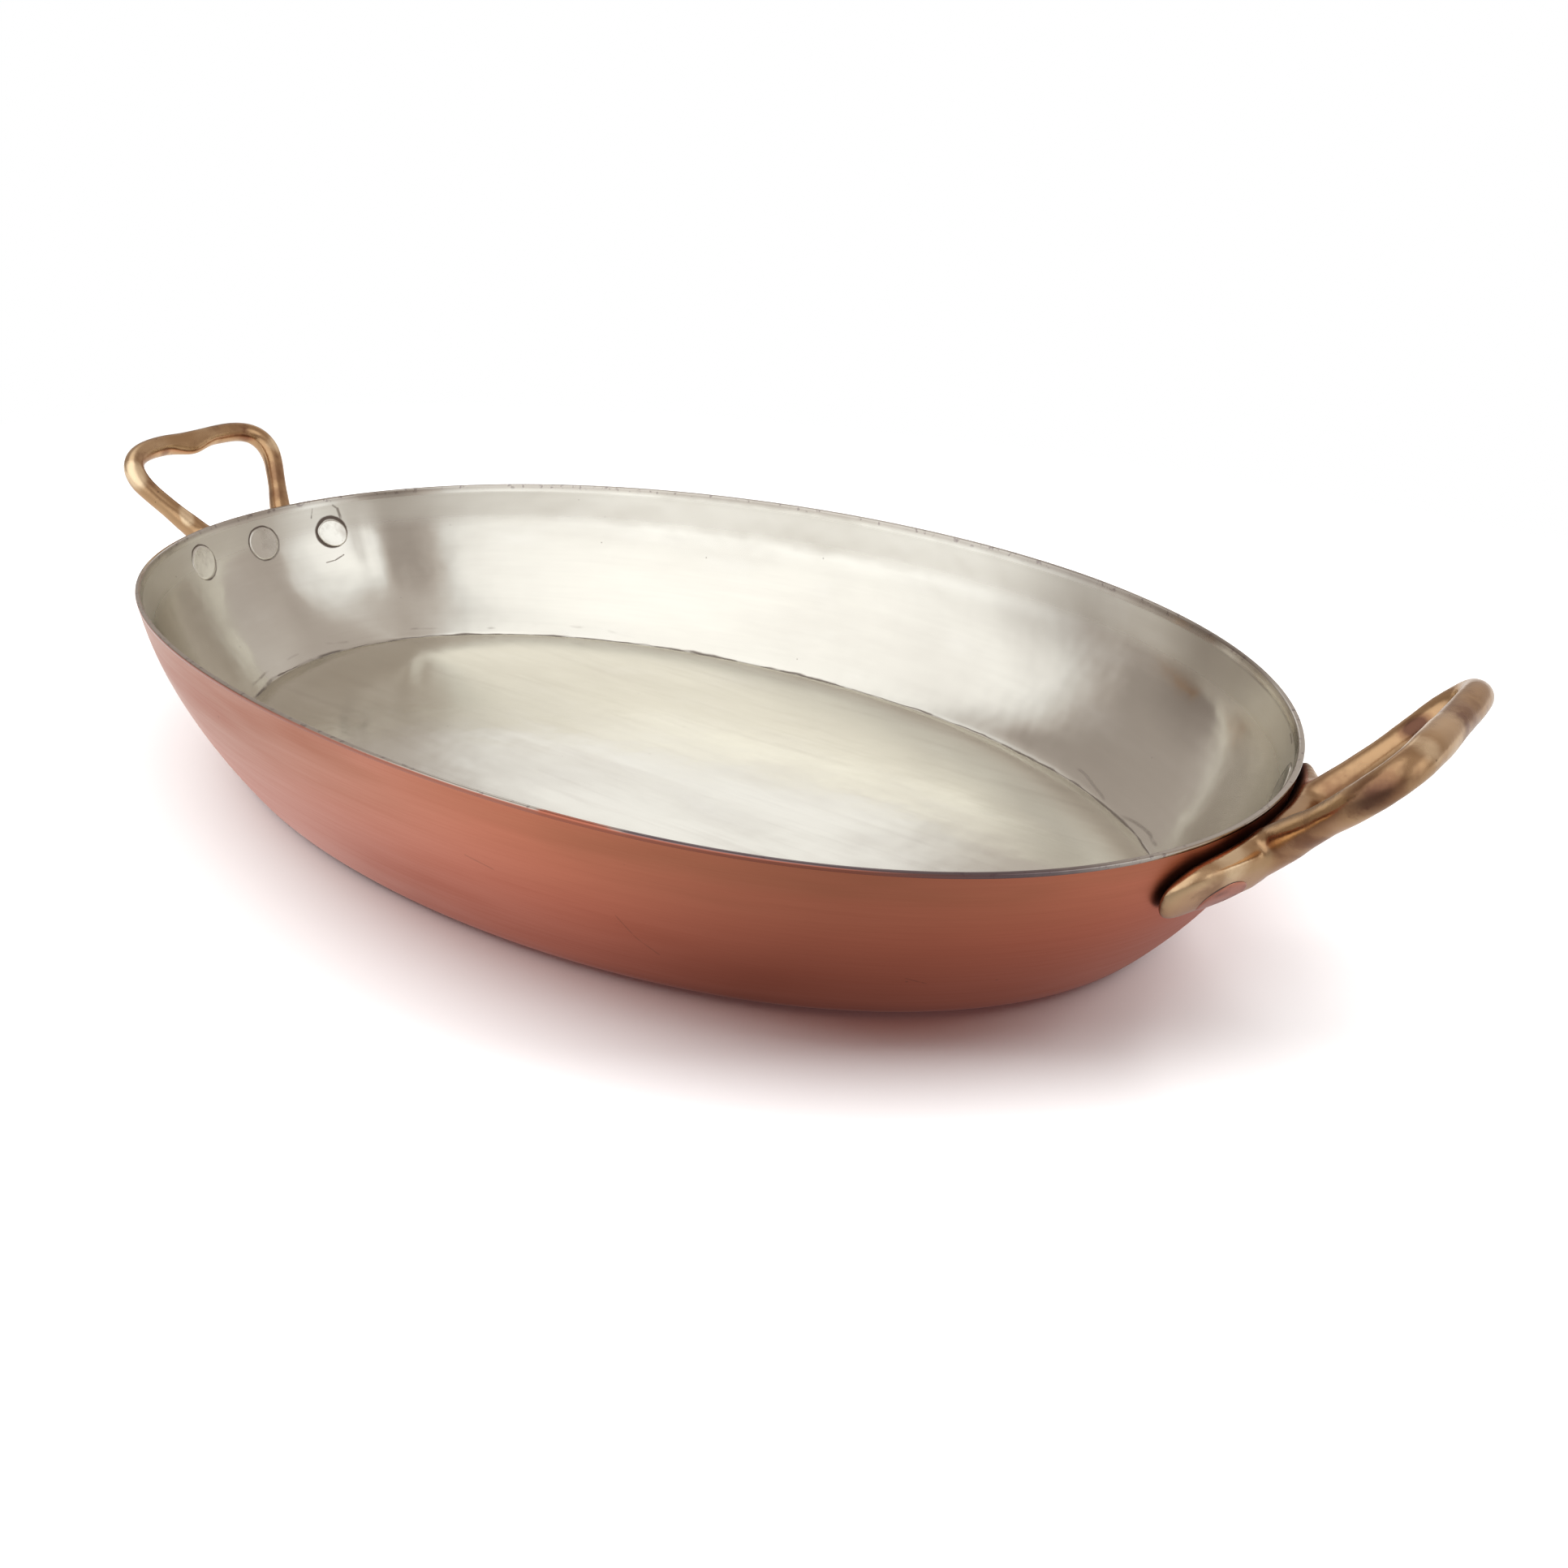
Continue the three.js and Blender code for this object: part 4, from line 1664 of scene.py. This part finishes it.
@dataclass(frozen=True)
class CopperFinish:
    """Finely brushed copper with a thin warm patina, painted shade at the foot and low on the right, a paler painted
    reflection at the left end, and darker and scuffed under the base.
    """

    form: PanForm
    effects: Effects
    copper: Colour = (0.67, 0.22, 0.135)
    # Painted reflection: the paler copper of the left end, where the wall mirrors the bright floor.
    painted_light_copper: Colour = (0.66, 0.42, 0.345)
    olive: Colour = (0.42, 0.2, 0.105)
    deep_copper: Colour = (0.5, 0.145, 0.085)
    # Painted shade: low on the right of the wall, and a dark line at the foot.
    painted_low_shade: Colour = (0.34, 0.085, 0.06)
    painted_foot_shade: Colour = (0.11, 0.035, 0.04)
    brown: Colour = (0.2, 0.085, 0.055)
    lines: tuple[Line, ...] = (
        ((296.2, 26), (297.6, 20), 0.35),
        ((297.6, 20), (299.4, 15.5), 0.35),
        ((283, 31), (285.5, 29.6), 0.35),
        ((321, 18), (323, 16), 0.35),
    )

    def material(self) -> Material:
        """Builds the material.

        Returns:
            The material.
        """
        bench = Metal("brushed_copper")
        (x, _, z), grain = bench.xyz, bench.stored("grain", vector=True)
        fine = bench.group(self.effects.brushing, Grain=grain, Fineness=1.1)
        clouds = bench.noise(bench.stretch(grain, (9, 9, 48)), 1.0, 3, 0.55)
        patina = bench.band(z, 0.026, 0.045) * bench.band(x, -0.09, 0.03)
        edge = z + (clouds - 0.5) * (3 * MM)
        under = bench.band(z, 0.4 * MM, 0.1 * MM)
        scuffs = bench.band(bench.noise(bench.place, 38.0, 5, 0.65), 0.4, 0.62)
        lines = self.effects.scratches(bench, self.form, self.lines, 0.0)
        specks = self.effects.specks(bench, 150.0, 0.07, 0.12)
        colour = bench.coats(
            self.copper,
            # Painted reflection: the wall is paler towards its left end.
            (bench.band(x, 0.075, -0.105), self.painted_light_copper),
            (bench.band(clouds, 0.42, 0.72, 0.0, 0.55), self.deep_copper),
            (fine["Shade"] * 0.2, self.deep_copper),
            (patina * bench.band(clouds, 0.35, 0.6, 0.1, 0.35), self.olive),
            # Painted shade: a dark line along the foot, and the lower wall darker on the right.
            (bench.band(edge, 0.3 * MM, 2.8 * MM, 0.92, 0.0), self.painted_foot_shade),
            (bench.band(edge, 1 * MM, 8 * MM, 0.6, 0.0) * bench.band(x, -0.02, 0.06), self.painted_low_shade),
            (under, bench.blend(scuffs, self.brown, self.copper)),
            (bench.most(lines * 0.3, specks * 0.35), self.brown),
        )
        rough = bench.band(clouds, 0.3, 0.7, 0.3, 0.4) + fine["Shade"] * 0.06
        height = fine["Height"] * 0.25 + fine["Shade"] * 0.25
        return bench.finish(colour, bench.most(rough, under * 0.45), height, 0.02 * MM)


@dataclass(frozen=True)
class BrassFinish:
    """Cast brass, rubbed bright where hands hold it and painted bright in patches, brown in its hollows and in
    patches of tarnish and painted dark reflections, and painted shade where it meets the wall.
    """

    effects: Effects
    rings: tuple[Ring, ...]
    brass: Colour = (0.52, 0.325, 0.175)
    pale_brass: Colour = (0.76, 0.54, 0.33)
    # Painted highlight: the near-white brass of the bright patches.
    painted_highlight_brass: Colour = (0.94, 0.72, 0.47)
    brown: Colour = (0.22, 0.095, 0.055)
    # Near-black brown for tarnish and painted dark reflections.
    tarnish: Colour = (0.10, 0.04, 0.032)
    # Near black: painted shade in the gap at the wall, and grime round the rivet heads and in pits.
    grime: Colour = (0.035, 0.02, 0.018)

    def material(self) -> Material:
        """Builds the material.

        Returns:
            The material.
        """
        bench = Metal("cast_brass")
        place, grime = bench.place, bench.stored("grime")
        clouds = bench.noise(place, 75.0, 4, 0.6)
        spots = bench.noise(bench.stretch(place, move=(2, 5, 1)), 130.0, 4, 0.65)
        pale = bench.noise(bench.stretch(place, move=(7, 0, 3)), 48.0, 2, 0.5)
        ragged = (spots - 0.5) * 0.5
        # Brown tarnish and painted dark reflections, with a ragged edge.
        tarnish_and_reflection = bench.stored("tarnish") + ragged
        pits = self.effects.specks(bench, 420.0, 0.16, 0.12)
        colour = bench.coats(
            self.brass,
            (bench.band(pale, 0.45, 0.68, 0.0, 0.7), self.pale_brass),
            (bench.band(clouds, 0.48, 0.7, 0.0, 0.6), self.brown),
            (bench.band(spots, 0.6, 0.72, 0.0, 0.6), self.brown),
            # Painted highlights and rubbed brass, in patches.
            (bench.band(bench.stored("rubbed") + ragged, 0.3, 0.75), self.painted_highlight_brass),
            (bench.band(tarnish_and_reflection, 0.12, 0.4, 0.0, 0.6), self.brown),
            (bench.band(tarnish_and_reflection, 0.35, 0.7) * 0.75, self.tarnish),
            # Painted shade in the gap at the wall.
            (grime, self.grime),
            (bench.most(self.effects.rings(bench, self.rings), pits * 0.5), self.grime),
        )
        rough = bench.most(bench.band(clouds, 0.35, 0.7, 0.2, 0.34), grime * 0.6)
        return bench.finish(colour, rough, clouds + bench.noise(place, 900.0, 3, 0.6) * 0.12, 0.18 * MM)


@dataclass(frozen=True)
class RivetFinish:
    """Copper rivets: tinned over on the inner head, rubbed copper on the outer one."""

    effects: Effects
    tin: Colour = (0.85, 0.83, 0.76)
    shadow_tin: Colour = (0.6, 0.56, 0.5)
    copper: Colour = (0.6, 0.25, 0.175)
    brown: Colour = (0.25, 0.1, 0.07)

    def material(self) -> Material:
        """Builds the material.

        Returns:
            The material.
        """
        bench = Metal("peened_rivet")
        clouds = bench.noise(bench.place, 160.0, 3, 0.6)
        tinned = bench.blend(bench.band(clouds, 0.45, 0.7, 0.0, 0.6), self.tin, self.shadow_tin)
        bare = bench.blend(bench.band(clouds, 0.45, 0.7, 0.0, 0.7), self.copper, self.brown)
        pits = self.effects.specks(bench, 500.0, 0.14, 0.1)
        colour = bench.coats(bare, (bench.stored("inside"), tinned), (pits * 0.5, self.brown))
        height = clouds * (0.04 * MM) + bench.stored("lean")
        return bench.finish(colour, bench.band(clouds, 0.35, 0.7, 0.18, 0.3), height, 1.0)


# Studio


@dataclass
class Studio:
    """Plain pale floor, white surround, soft lamps, a dome that only the metal sees, and the camera.

    Attributes:
        low: The dome's brightness low down, 1 for white, at azimuths in degrees from +X towards +Y.
        middle: The same half-way up.
        high: The same high up.
        window: The azimuths where the small window starts, is full, is still full and ends.
        table: The brightness of the floor in the metal, as for the dome.
        foot: The share of that which is left at the pan's foot.
        brightest: A brightness that none of the rows is over.
        foot_half: Half the length and half the width of the pan's foot.
        near_foot: Where the foot's shade has gone, in feet from the middle.
        whitening: Distances from the middle between which the seen floor goes white.
        low_to_middle: Heights, as shares of the dome's, between which one row gives way to the next.
        middle_to_high: The same for the upper rows.
        window_rise: The heights where the window starts, is full, is still full and ends.
    """

    dome_radius: float = 2.4
    floor_radius: float = 5.0
    around_light: float = 0.05
    brightest: float = 1.5
    low: Row = (
        (0, 1.0), (12, 0.62), (24, 0.44), (42, 0.41), (62, 0.5), (84, 0.52), (104, 0.42), (120, 0.4),
        (142, 0.34), (160, 0.44), (180, 0.37), (204, 0.3), (214, 0.62), (224, 1.05), (240, 1.27),
        (262, 1.26), (284, 1.2), (297, 1.0), (307, 0.6), (318, 0.29), (335, 0.34), (345, 0.55), (353, 0.95),
    )
    middle: Row = (
        (0, 1.2), (10, 1.12), (19, 0.92), (28, 0.46), (44, 0.43), (62, 0.52), (84, 0.58), (106, 0.54),
        (120, 0.5), (132, 0.45), (150, 0.42), (184, 0.37), (202, 0.34), (209, 0.7), (216, 1.15),
        (240, 1.3), (260, 1.33), (282, 1.22), (300, 1.06), (309, 0.62), (317, 0.36), (328, 0.38),
        (336, 0.66), (342, 1.12), (350, 1.22),
    )
    high: Row = (
        (0, 0.6), (20, 0.5), (44, 0.45), (84, 0.44), (104, 0.44), (120, 0.45), (146, 0.47), (160, 0.7),
        (180, 0.9), (202, 1.17), (220, 1.3), (240, 1.29), (262, 1.24), (284, 1.08), (300, 0.82),
        (320, 0.52), (340, 0.46),
    )
    low_to_middle: tuple[float, float] = (0.16, 0.36)
    middle_to_high: tuple[float, float] = (0.6, 0.82)
    window: tuple[float, float, float, float] = (114, 121, 138, 145)
    window_rise: tuple[float, float, float, float] = (0.3, 0.37, 0.5, 0.58)
    window_shade: float = 1.1
    table: Row = (
        (0, 0.7), (40, 0.85), (120, 1.0), (160, 1.05), (182, 1.02), (200, 0.95), (223, 0.8), (240, 0.84),
        (254, 0.87), (266, 0.88), (276, 0.86), (290, 0.73), (303, 0.58), (312, 0.49), (322, 0.43),
        (332, 0.46), (342, 0.56), (352, 0.68),
    )
    foot: Row = (
        (0, 0.5), (60, 0.7), (160, 0.9), (200, 1.0), (220, 1.05), (240, 0.88), (250, 0.76), (260, 0.64),
        (272, 0.56), (286, 0.6), (300, 0.62), (310, 0.52), (320, 0.4), (332, 0.4), (345, 0.42),
    )
    plain_floor: Colour = (0.8, 0.785, 0.78)
    seen_floor: Colour = (0.8, 0.8, 0.8)
    # Painted light: a faint pink glow for the copper's light bounced onto the floor.
    floor_glow: Colour = (1.0, 0.45, 0.45)
    reddened: Colour = (1.07, 0.82, 0.79)
    mirrored_floor: Colour = (1.0, 0.985, 0.97)
    dim_cloth: Colour = (1.11, 0.975, 0.89)
    glow: float = 0.035
    foot_half: tuple[float, float] = (0.1505, 0.088)
    near_foot: float = 1.45
    whitening: tuple[float, float] = (0.3, 0.62)

    def world(self) -> None:
        """White to the camera and in the metal, and a plain soft light on all else."""
        world = bpy.data.worlds.new("white_surround")
        bpy.context.scene.world = world
        world.use_nodes = True
        bench = Bench(world.node_tree)
        background = world.node_tree.nodes["Background"]
        seen = bench.most(*map(bench.ray, Ray))
        bench.feed(background.inputs["Color"], (1.0, 1.0, 1.0))
        bench.feed(background.inputs["Strength"], bench.band(seen, 0.0, 1.0, self.around_light, 1.0))

    def floor(self) -> None:
        """Lays the pale floor, which keeps the pan's shadow and goes white away from it."""
        clear_selection()
        bpy.ops.mesh.primitive_circle_add(vertices=96, radius=self.floor_radius, fill_type="NGON")
        floor = bpy.context.active_object
        floor.name = "studio_floor"
        bench = Cloth("pale_floor")
        slender = 1.45
        away = bench.turn("LENGTH", bench.turn("MULTIPLY", bench.place, (1.0, slender, 1.0)))
        soft = bench.put("BsdfDiffuse", {"Color": self.seen_floor})
        glow = bench.put("Emission", {"Color": self.floor_glow, "Strength": self.glow})
        shown = bench.put("AddShader", {0: soft, 1: glow})
        seen = bench.mix(bench.band(away, *self.whitening), shown, bench.put("Emission"))
        to_foot = (1 / self.foot_half[0], 1 / self.foot_half[1], 0.0)
        from_foot = bench.turn("LENGTH", bench.turn("MULTIPLY", bench.place, to_foot))
        # In the metal, the floor near the foot has a painted shadow and a painted red light bounced from the copper.
        near = bench.band(from_foot, 1.0, self.near_foot, self.ramp(bench, self.foot), 1.0)
        tint = bench.blend(bench.band(from_foot, 1.0, 1.5), self.reddened, self.mirrored_floor)
        mirrored = bench.put("Emission", {"Color": tint, "Strength": self.ramp(bench, self.table) * near})
        plain = bench.put("BsdfDiffuse", {"Color": self.plain_floor})
        camera_side = bench.most(bench.ray(Ray.CAMERA), bench.ray(Ray.TRANSMISSION))
        bench.cover(floor, bench.mix(camera_side, bench.mix(bench.ray(Ray.GLOSSY), plain, mirrored), seen))

    def ramp(self, bench: Bench, row: Row) -> Value:
        """Reads a row of brightness at a place's azimuth.

        Args:
            bench: The bench to work on.
            row: Azimuths and the brightness there.

        Returns:
            The brightness.
        """
        node = bench.add("ValToRGB", {0: bench.calc("FRACT", bench.azimuth / (2 * math.pi) + 1.0)})
        stops = node.color_ramp.elements
        while len(stops) > 1:
            stops.remove(stops[-1])
        for index, (degrees, shade) in enumerate((*row, (360, row[0][1]))):
            stop = stops.new(degrees / 360) if index else stops[0]
            stop.position = degrees / 360
            stop.color = (*[shade / self.brightest] * 3, 1)
        return bench.read(node) * self.brightest

    def dome(self) -> None:
        """Sets a dome of pale, grey and bright cloth over the pan, seen only in the metal."""
        clear_selection()
        bpy.ops.mesh.primitive_uv_sphere_add(segments=96, ring_count=48, radius=self.dome_radius)
        dome = bpy.context.active_object
        dome.name = "studio_dome"
        bpy.ops.object.mode_set(mode="EDIT")
        bpy.ops.mesh.select_all(action="SELECT")
        bpy.ops.mesh.bisect(plane_co=(0, 0, -0.02), plane_no=(0, 0, 1), clear_inner=True)
        bpy.ops.object.mode_set(mode="OBJECT")
        bench = Cloth("dome_cloth")
        rise = bench.xyz[2] / self.dome_radius
        low, middle = self.ramp(bench, self.low), self.ramp(bench, self.middle)
        turn = bench.calc("DEGREES", bench.azimuth)
        window = bench.between(turn, *self.window) * bench.between(rise, *self.window_rise)
        shade = bench.coats(
            low,
            (bench.band(rise, *self.low_to_middle), middle),
            (window, [self.window_shade] * 3),
            (bench.band(rise, *self.middle_to_high), self.ramp(bench, self.high)),
        )
        warm = bench.blend(bench.band(shade, 0.3, 0.95), self.dim_cloth, (1.0, 1.0, 1.0))
        bench.cover(dome, bench.put("Emission", {"Color": warm, "Strength": shade}))
        for kind in ("camera", "diffuse", "shadow", "transmission"):
            setattr(dome, f"visible_{kind}", False)

    def lamp(self, name: str, azimuth: float, elevation: float, distance: float, size: float, power: float) -> None:
        """Hangs one soft lamp that lights the floor and isn't seen in the metal.

        Args:
            name: The lamp's name.
            azimuth: Its direction from the pan, from +X towards +Y, in degrees.
            elevation: Its height over the table, in degrees.
            distance: Its distance.
            size: The side of its square face.
            power: Its power in watts.
        """
        data = bpy.data.lights.new(name, "AREA")
        data.shape, data.size, data.energy = "SQUARE", size, power
        lamp = bpy.data.objects.new(name, data)
        bpy.context.scene.collection.objects.link(lamp)
        turn, rise = math.radians(azimuth), math.radians(elevation)
        direction = Vector((math.cos(turn) * math.cos(rise), math.sin(turn) * math.cos(rise), math.sin(rise)))
        lamp.location = direction * distance
        lamp.rotation_euler = direction.to_track_quat("Z", "Y").to_euler()
        lamp.visible_glossy = False

    def camera(self) -> None:
        """Sets the camera at the photograph's place and angle."""
        data = bpy.data.cameras.new("photo_camera")
        camera = bpy.data.objects.new("photo_camera", data)
        bpy.context.scene.collection.objects.link(camera)
        right = np.array([0.79179, 0.6108, -0.00034])
        down = np.array([0.27014, -0.35069, -0.89669])
        ahead = np.array([-0.54781, 0.70989, -0.44267])
        turned = Matrix(np.stack([right, -down, -ahead], 1).tolist())
        camera.matrix_world = Matrix.Translation((0.2619, -0.2904, 0.1872)) @ turned.to_4x4()
        frame_side, focal, middle_across, middle_down = 1932.0, 1872.0, 932.7, 980.2
        data.sensor_width = 36.0
        data.lens = data.sensor_width * focal / frame_side
        data.shift_x = (frame_side / 2 - middle_across) / frame_side
        data.shift_y = (middle_down - frame_side / 2) / frame_side
        data.clip_start, data.clip_end = 0.01, 50.0
        bpy.context.scene.camera = camera

    def build(self) -> None:
        """Sets up the whole studio."""
        bpy.context.scene.view_settings.view_transform = "Standard"
        self.world()
        self.floor()
        self.dome()
        self.lamp("high_lamp", 120, 84, 3.2, 2.8, 80.0)
        self.lamp("left_lamp", 198, 40, 3.0, 2.8, 124.0)
        self.lamp("back_lamp", 50, 40, 3.0, 2.2, 112.0)
        self.camera()
        LOG.info("studio: floor, dome, lamps and camera")


def make_rivets(form: PanForm, plate: PlateForm) -> list[Rivet]:
    """Lists the six rivets, three at each end.

    Args:
        form: The pan's form.
        plate: The face of the handles' plates.

    Returns:
        The rivets, not yet modelled.
    """
    near = {"inner_shift": (-1.4 * MM, 1.1 * MM)}
    far = {"inner_head": 9.4 * MM, "inner_shift": (-0.9 * MM, -1.2 * MM), "tilt": (-0.042, -0.09)}
    right_near = {"outer_shift": (3.2 * MM, -1.6 * MM)}
    own = {(End.LEFT, Side.NEAR): near, (End.LEFT, Side.FAR): far, (End.RIGHT, Side.NEAR): right_near}
    return [Rivet(form, end, side, plate, **own.get((end, side), {})) for end in End for side in Side]


def inner_ring(rivet: Rivet) -> Ring:
    """The residue round a rivet's tinned head; where the head leans it is thick and moved a little, painted shade of
    the head's sunken edge.

    Args:
        rivet: The rivet.

    Returns:
        Its ring.
    """
    leans = rivet.tilt != (0.0, 0.0)
    centre = np.array(rivet.centre(False)) + np.array([0.0, -0.3 * MM, 0.5 * MM]) * leans
    # A leaning head gets a wide unbroken ring: painted shade along its sunken edge.
    beyond, width, breaks = (0.2, 0.95, 0.0) if leans else (0.12, 0.42, 0.35)
    return Ring(tuple(centre), rivet.inner_head / 2 + beyond * MM, width * MM, breaks)


def outer_ring(rivet: Rivet) -> Ring:
    """The grime round a rivet's outer head."""
    return Ring(rivet.centre(True), 5.05 * MM, 0.6 * MM, 0.1)


def main() -> None:
    """Builds the pan piece by piece, and then the studio."""
    logging.basicConfig(level=logging.INFO, format="%(name)s: %(message)s")
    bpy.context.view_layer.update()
    form, effects, plate = PanForm(), Effects(), PlateForm()
    rivets = make_rivets(form, plate)
    copper = CopperFinish(form, effects).material()
    tin = TinFinish(form, effects, tuple(map(inner_ring, rivets))).material()
    brass = BrassFinish(effects, tuple(map(outer_ring, rivets))).material()
    rivet_metal = RivetFinish(effects).material()
    PanBody(form, HandWork(form)).build(copper, tin)
    # Brown tarnish and painted dark reflections on the left handle.
    marks = ((37.6, -12, 1, 2.4, 0.5), (36.8, 19, 1, 2.4, 0.5), (9, -15, 2, 2.2, 0.45))
    # Painted highlights and rubbed brass on the left handle.
    bright = ((31, -27, 2, 3.8, 1), (30, 26, 2, 2.8, 1), (12, -19, 3, 2.4, 1))
    Handle(form, End.LEFT, plate, root_height=39 * MM, sink=8 * MM, tarnish=marks, rubbed=bright).build(brass)
    # Brown tarnish and painted dark reflections on the right handle.
    dark = (
        (31.5, -26.5, 0, 3.1, 1), (39, 2, -1, 8, 0.36), (12, -21, -2, 3, 0.5),
        (24, 20.5, 1.5, 2.1, 1), (6, -13, 2.5, 2.4, 0.5),
    )
    # Painted highlights and rubbed brass on the right handle.
    worn = ((38, -19, 0.5, 3.6, 1), (-6, -24, 4, 5, 1))
    Handle(form, End.RIGHT, plate, root_height=43 * MM, sink=11 * MM, tarnish=dark, rubbed=worn).build(brass)
    for rivet in rivets:
        rivet.build(rivet_metal)
    Studio().build()


if __name__ == "__main__":
    main()
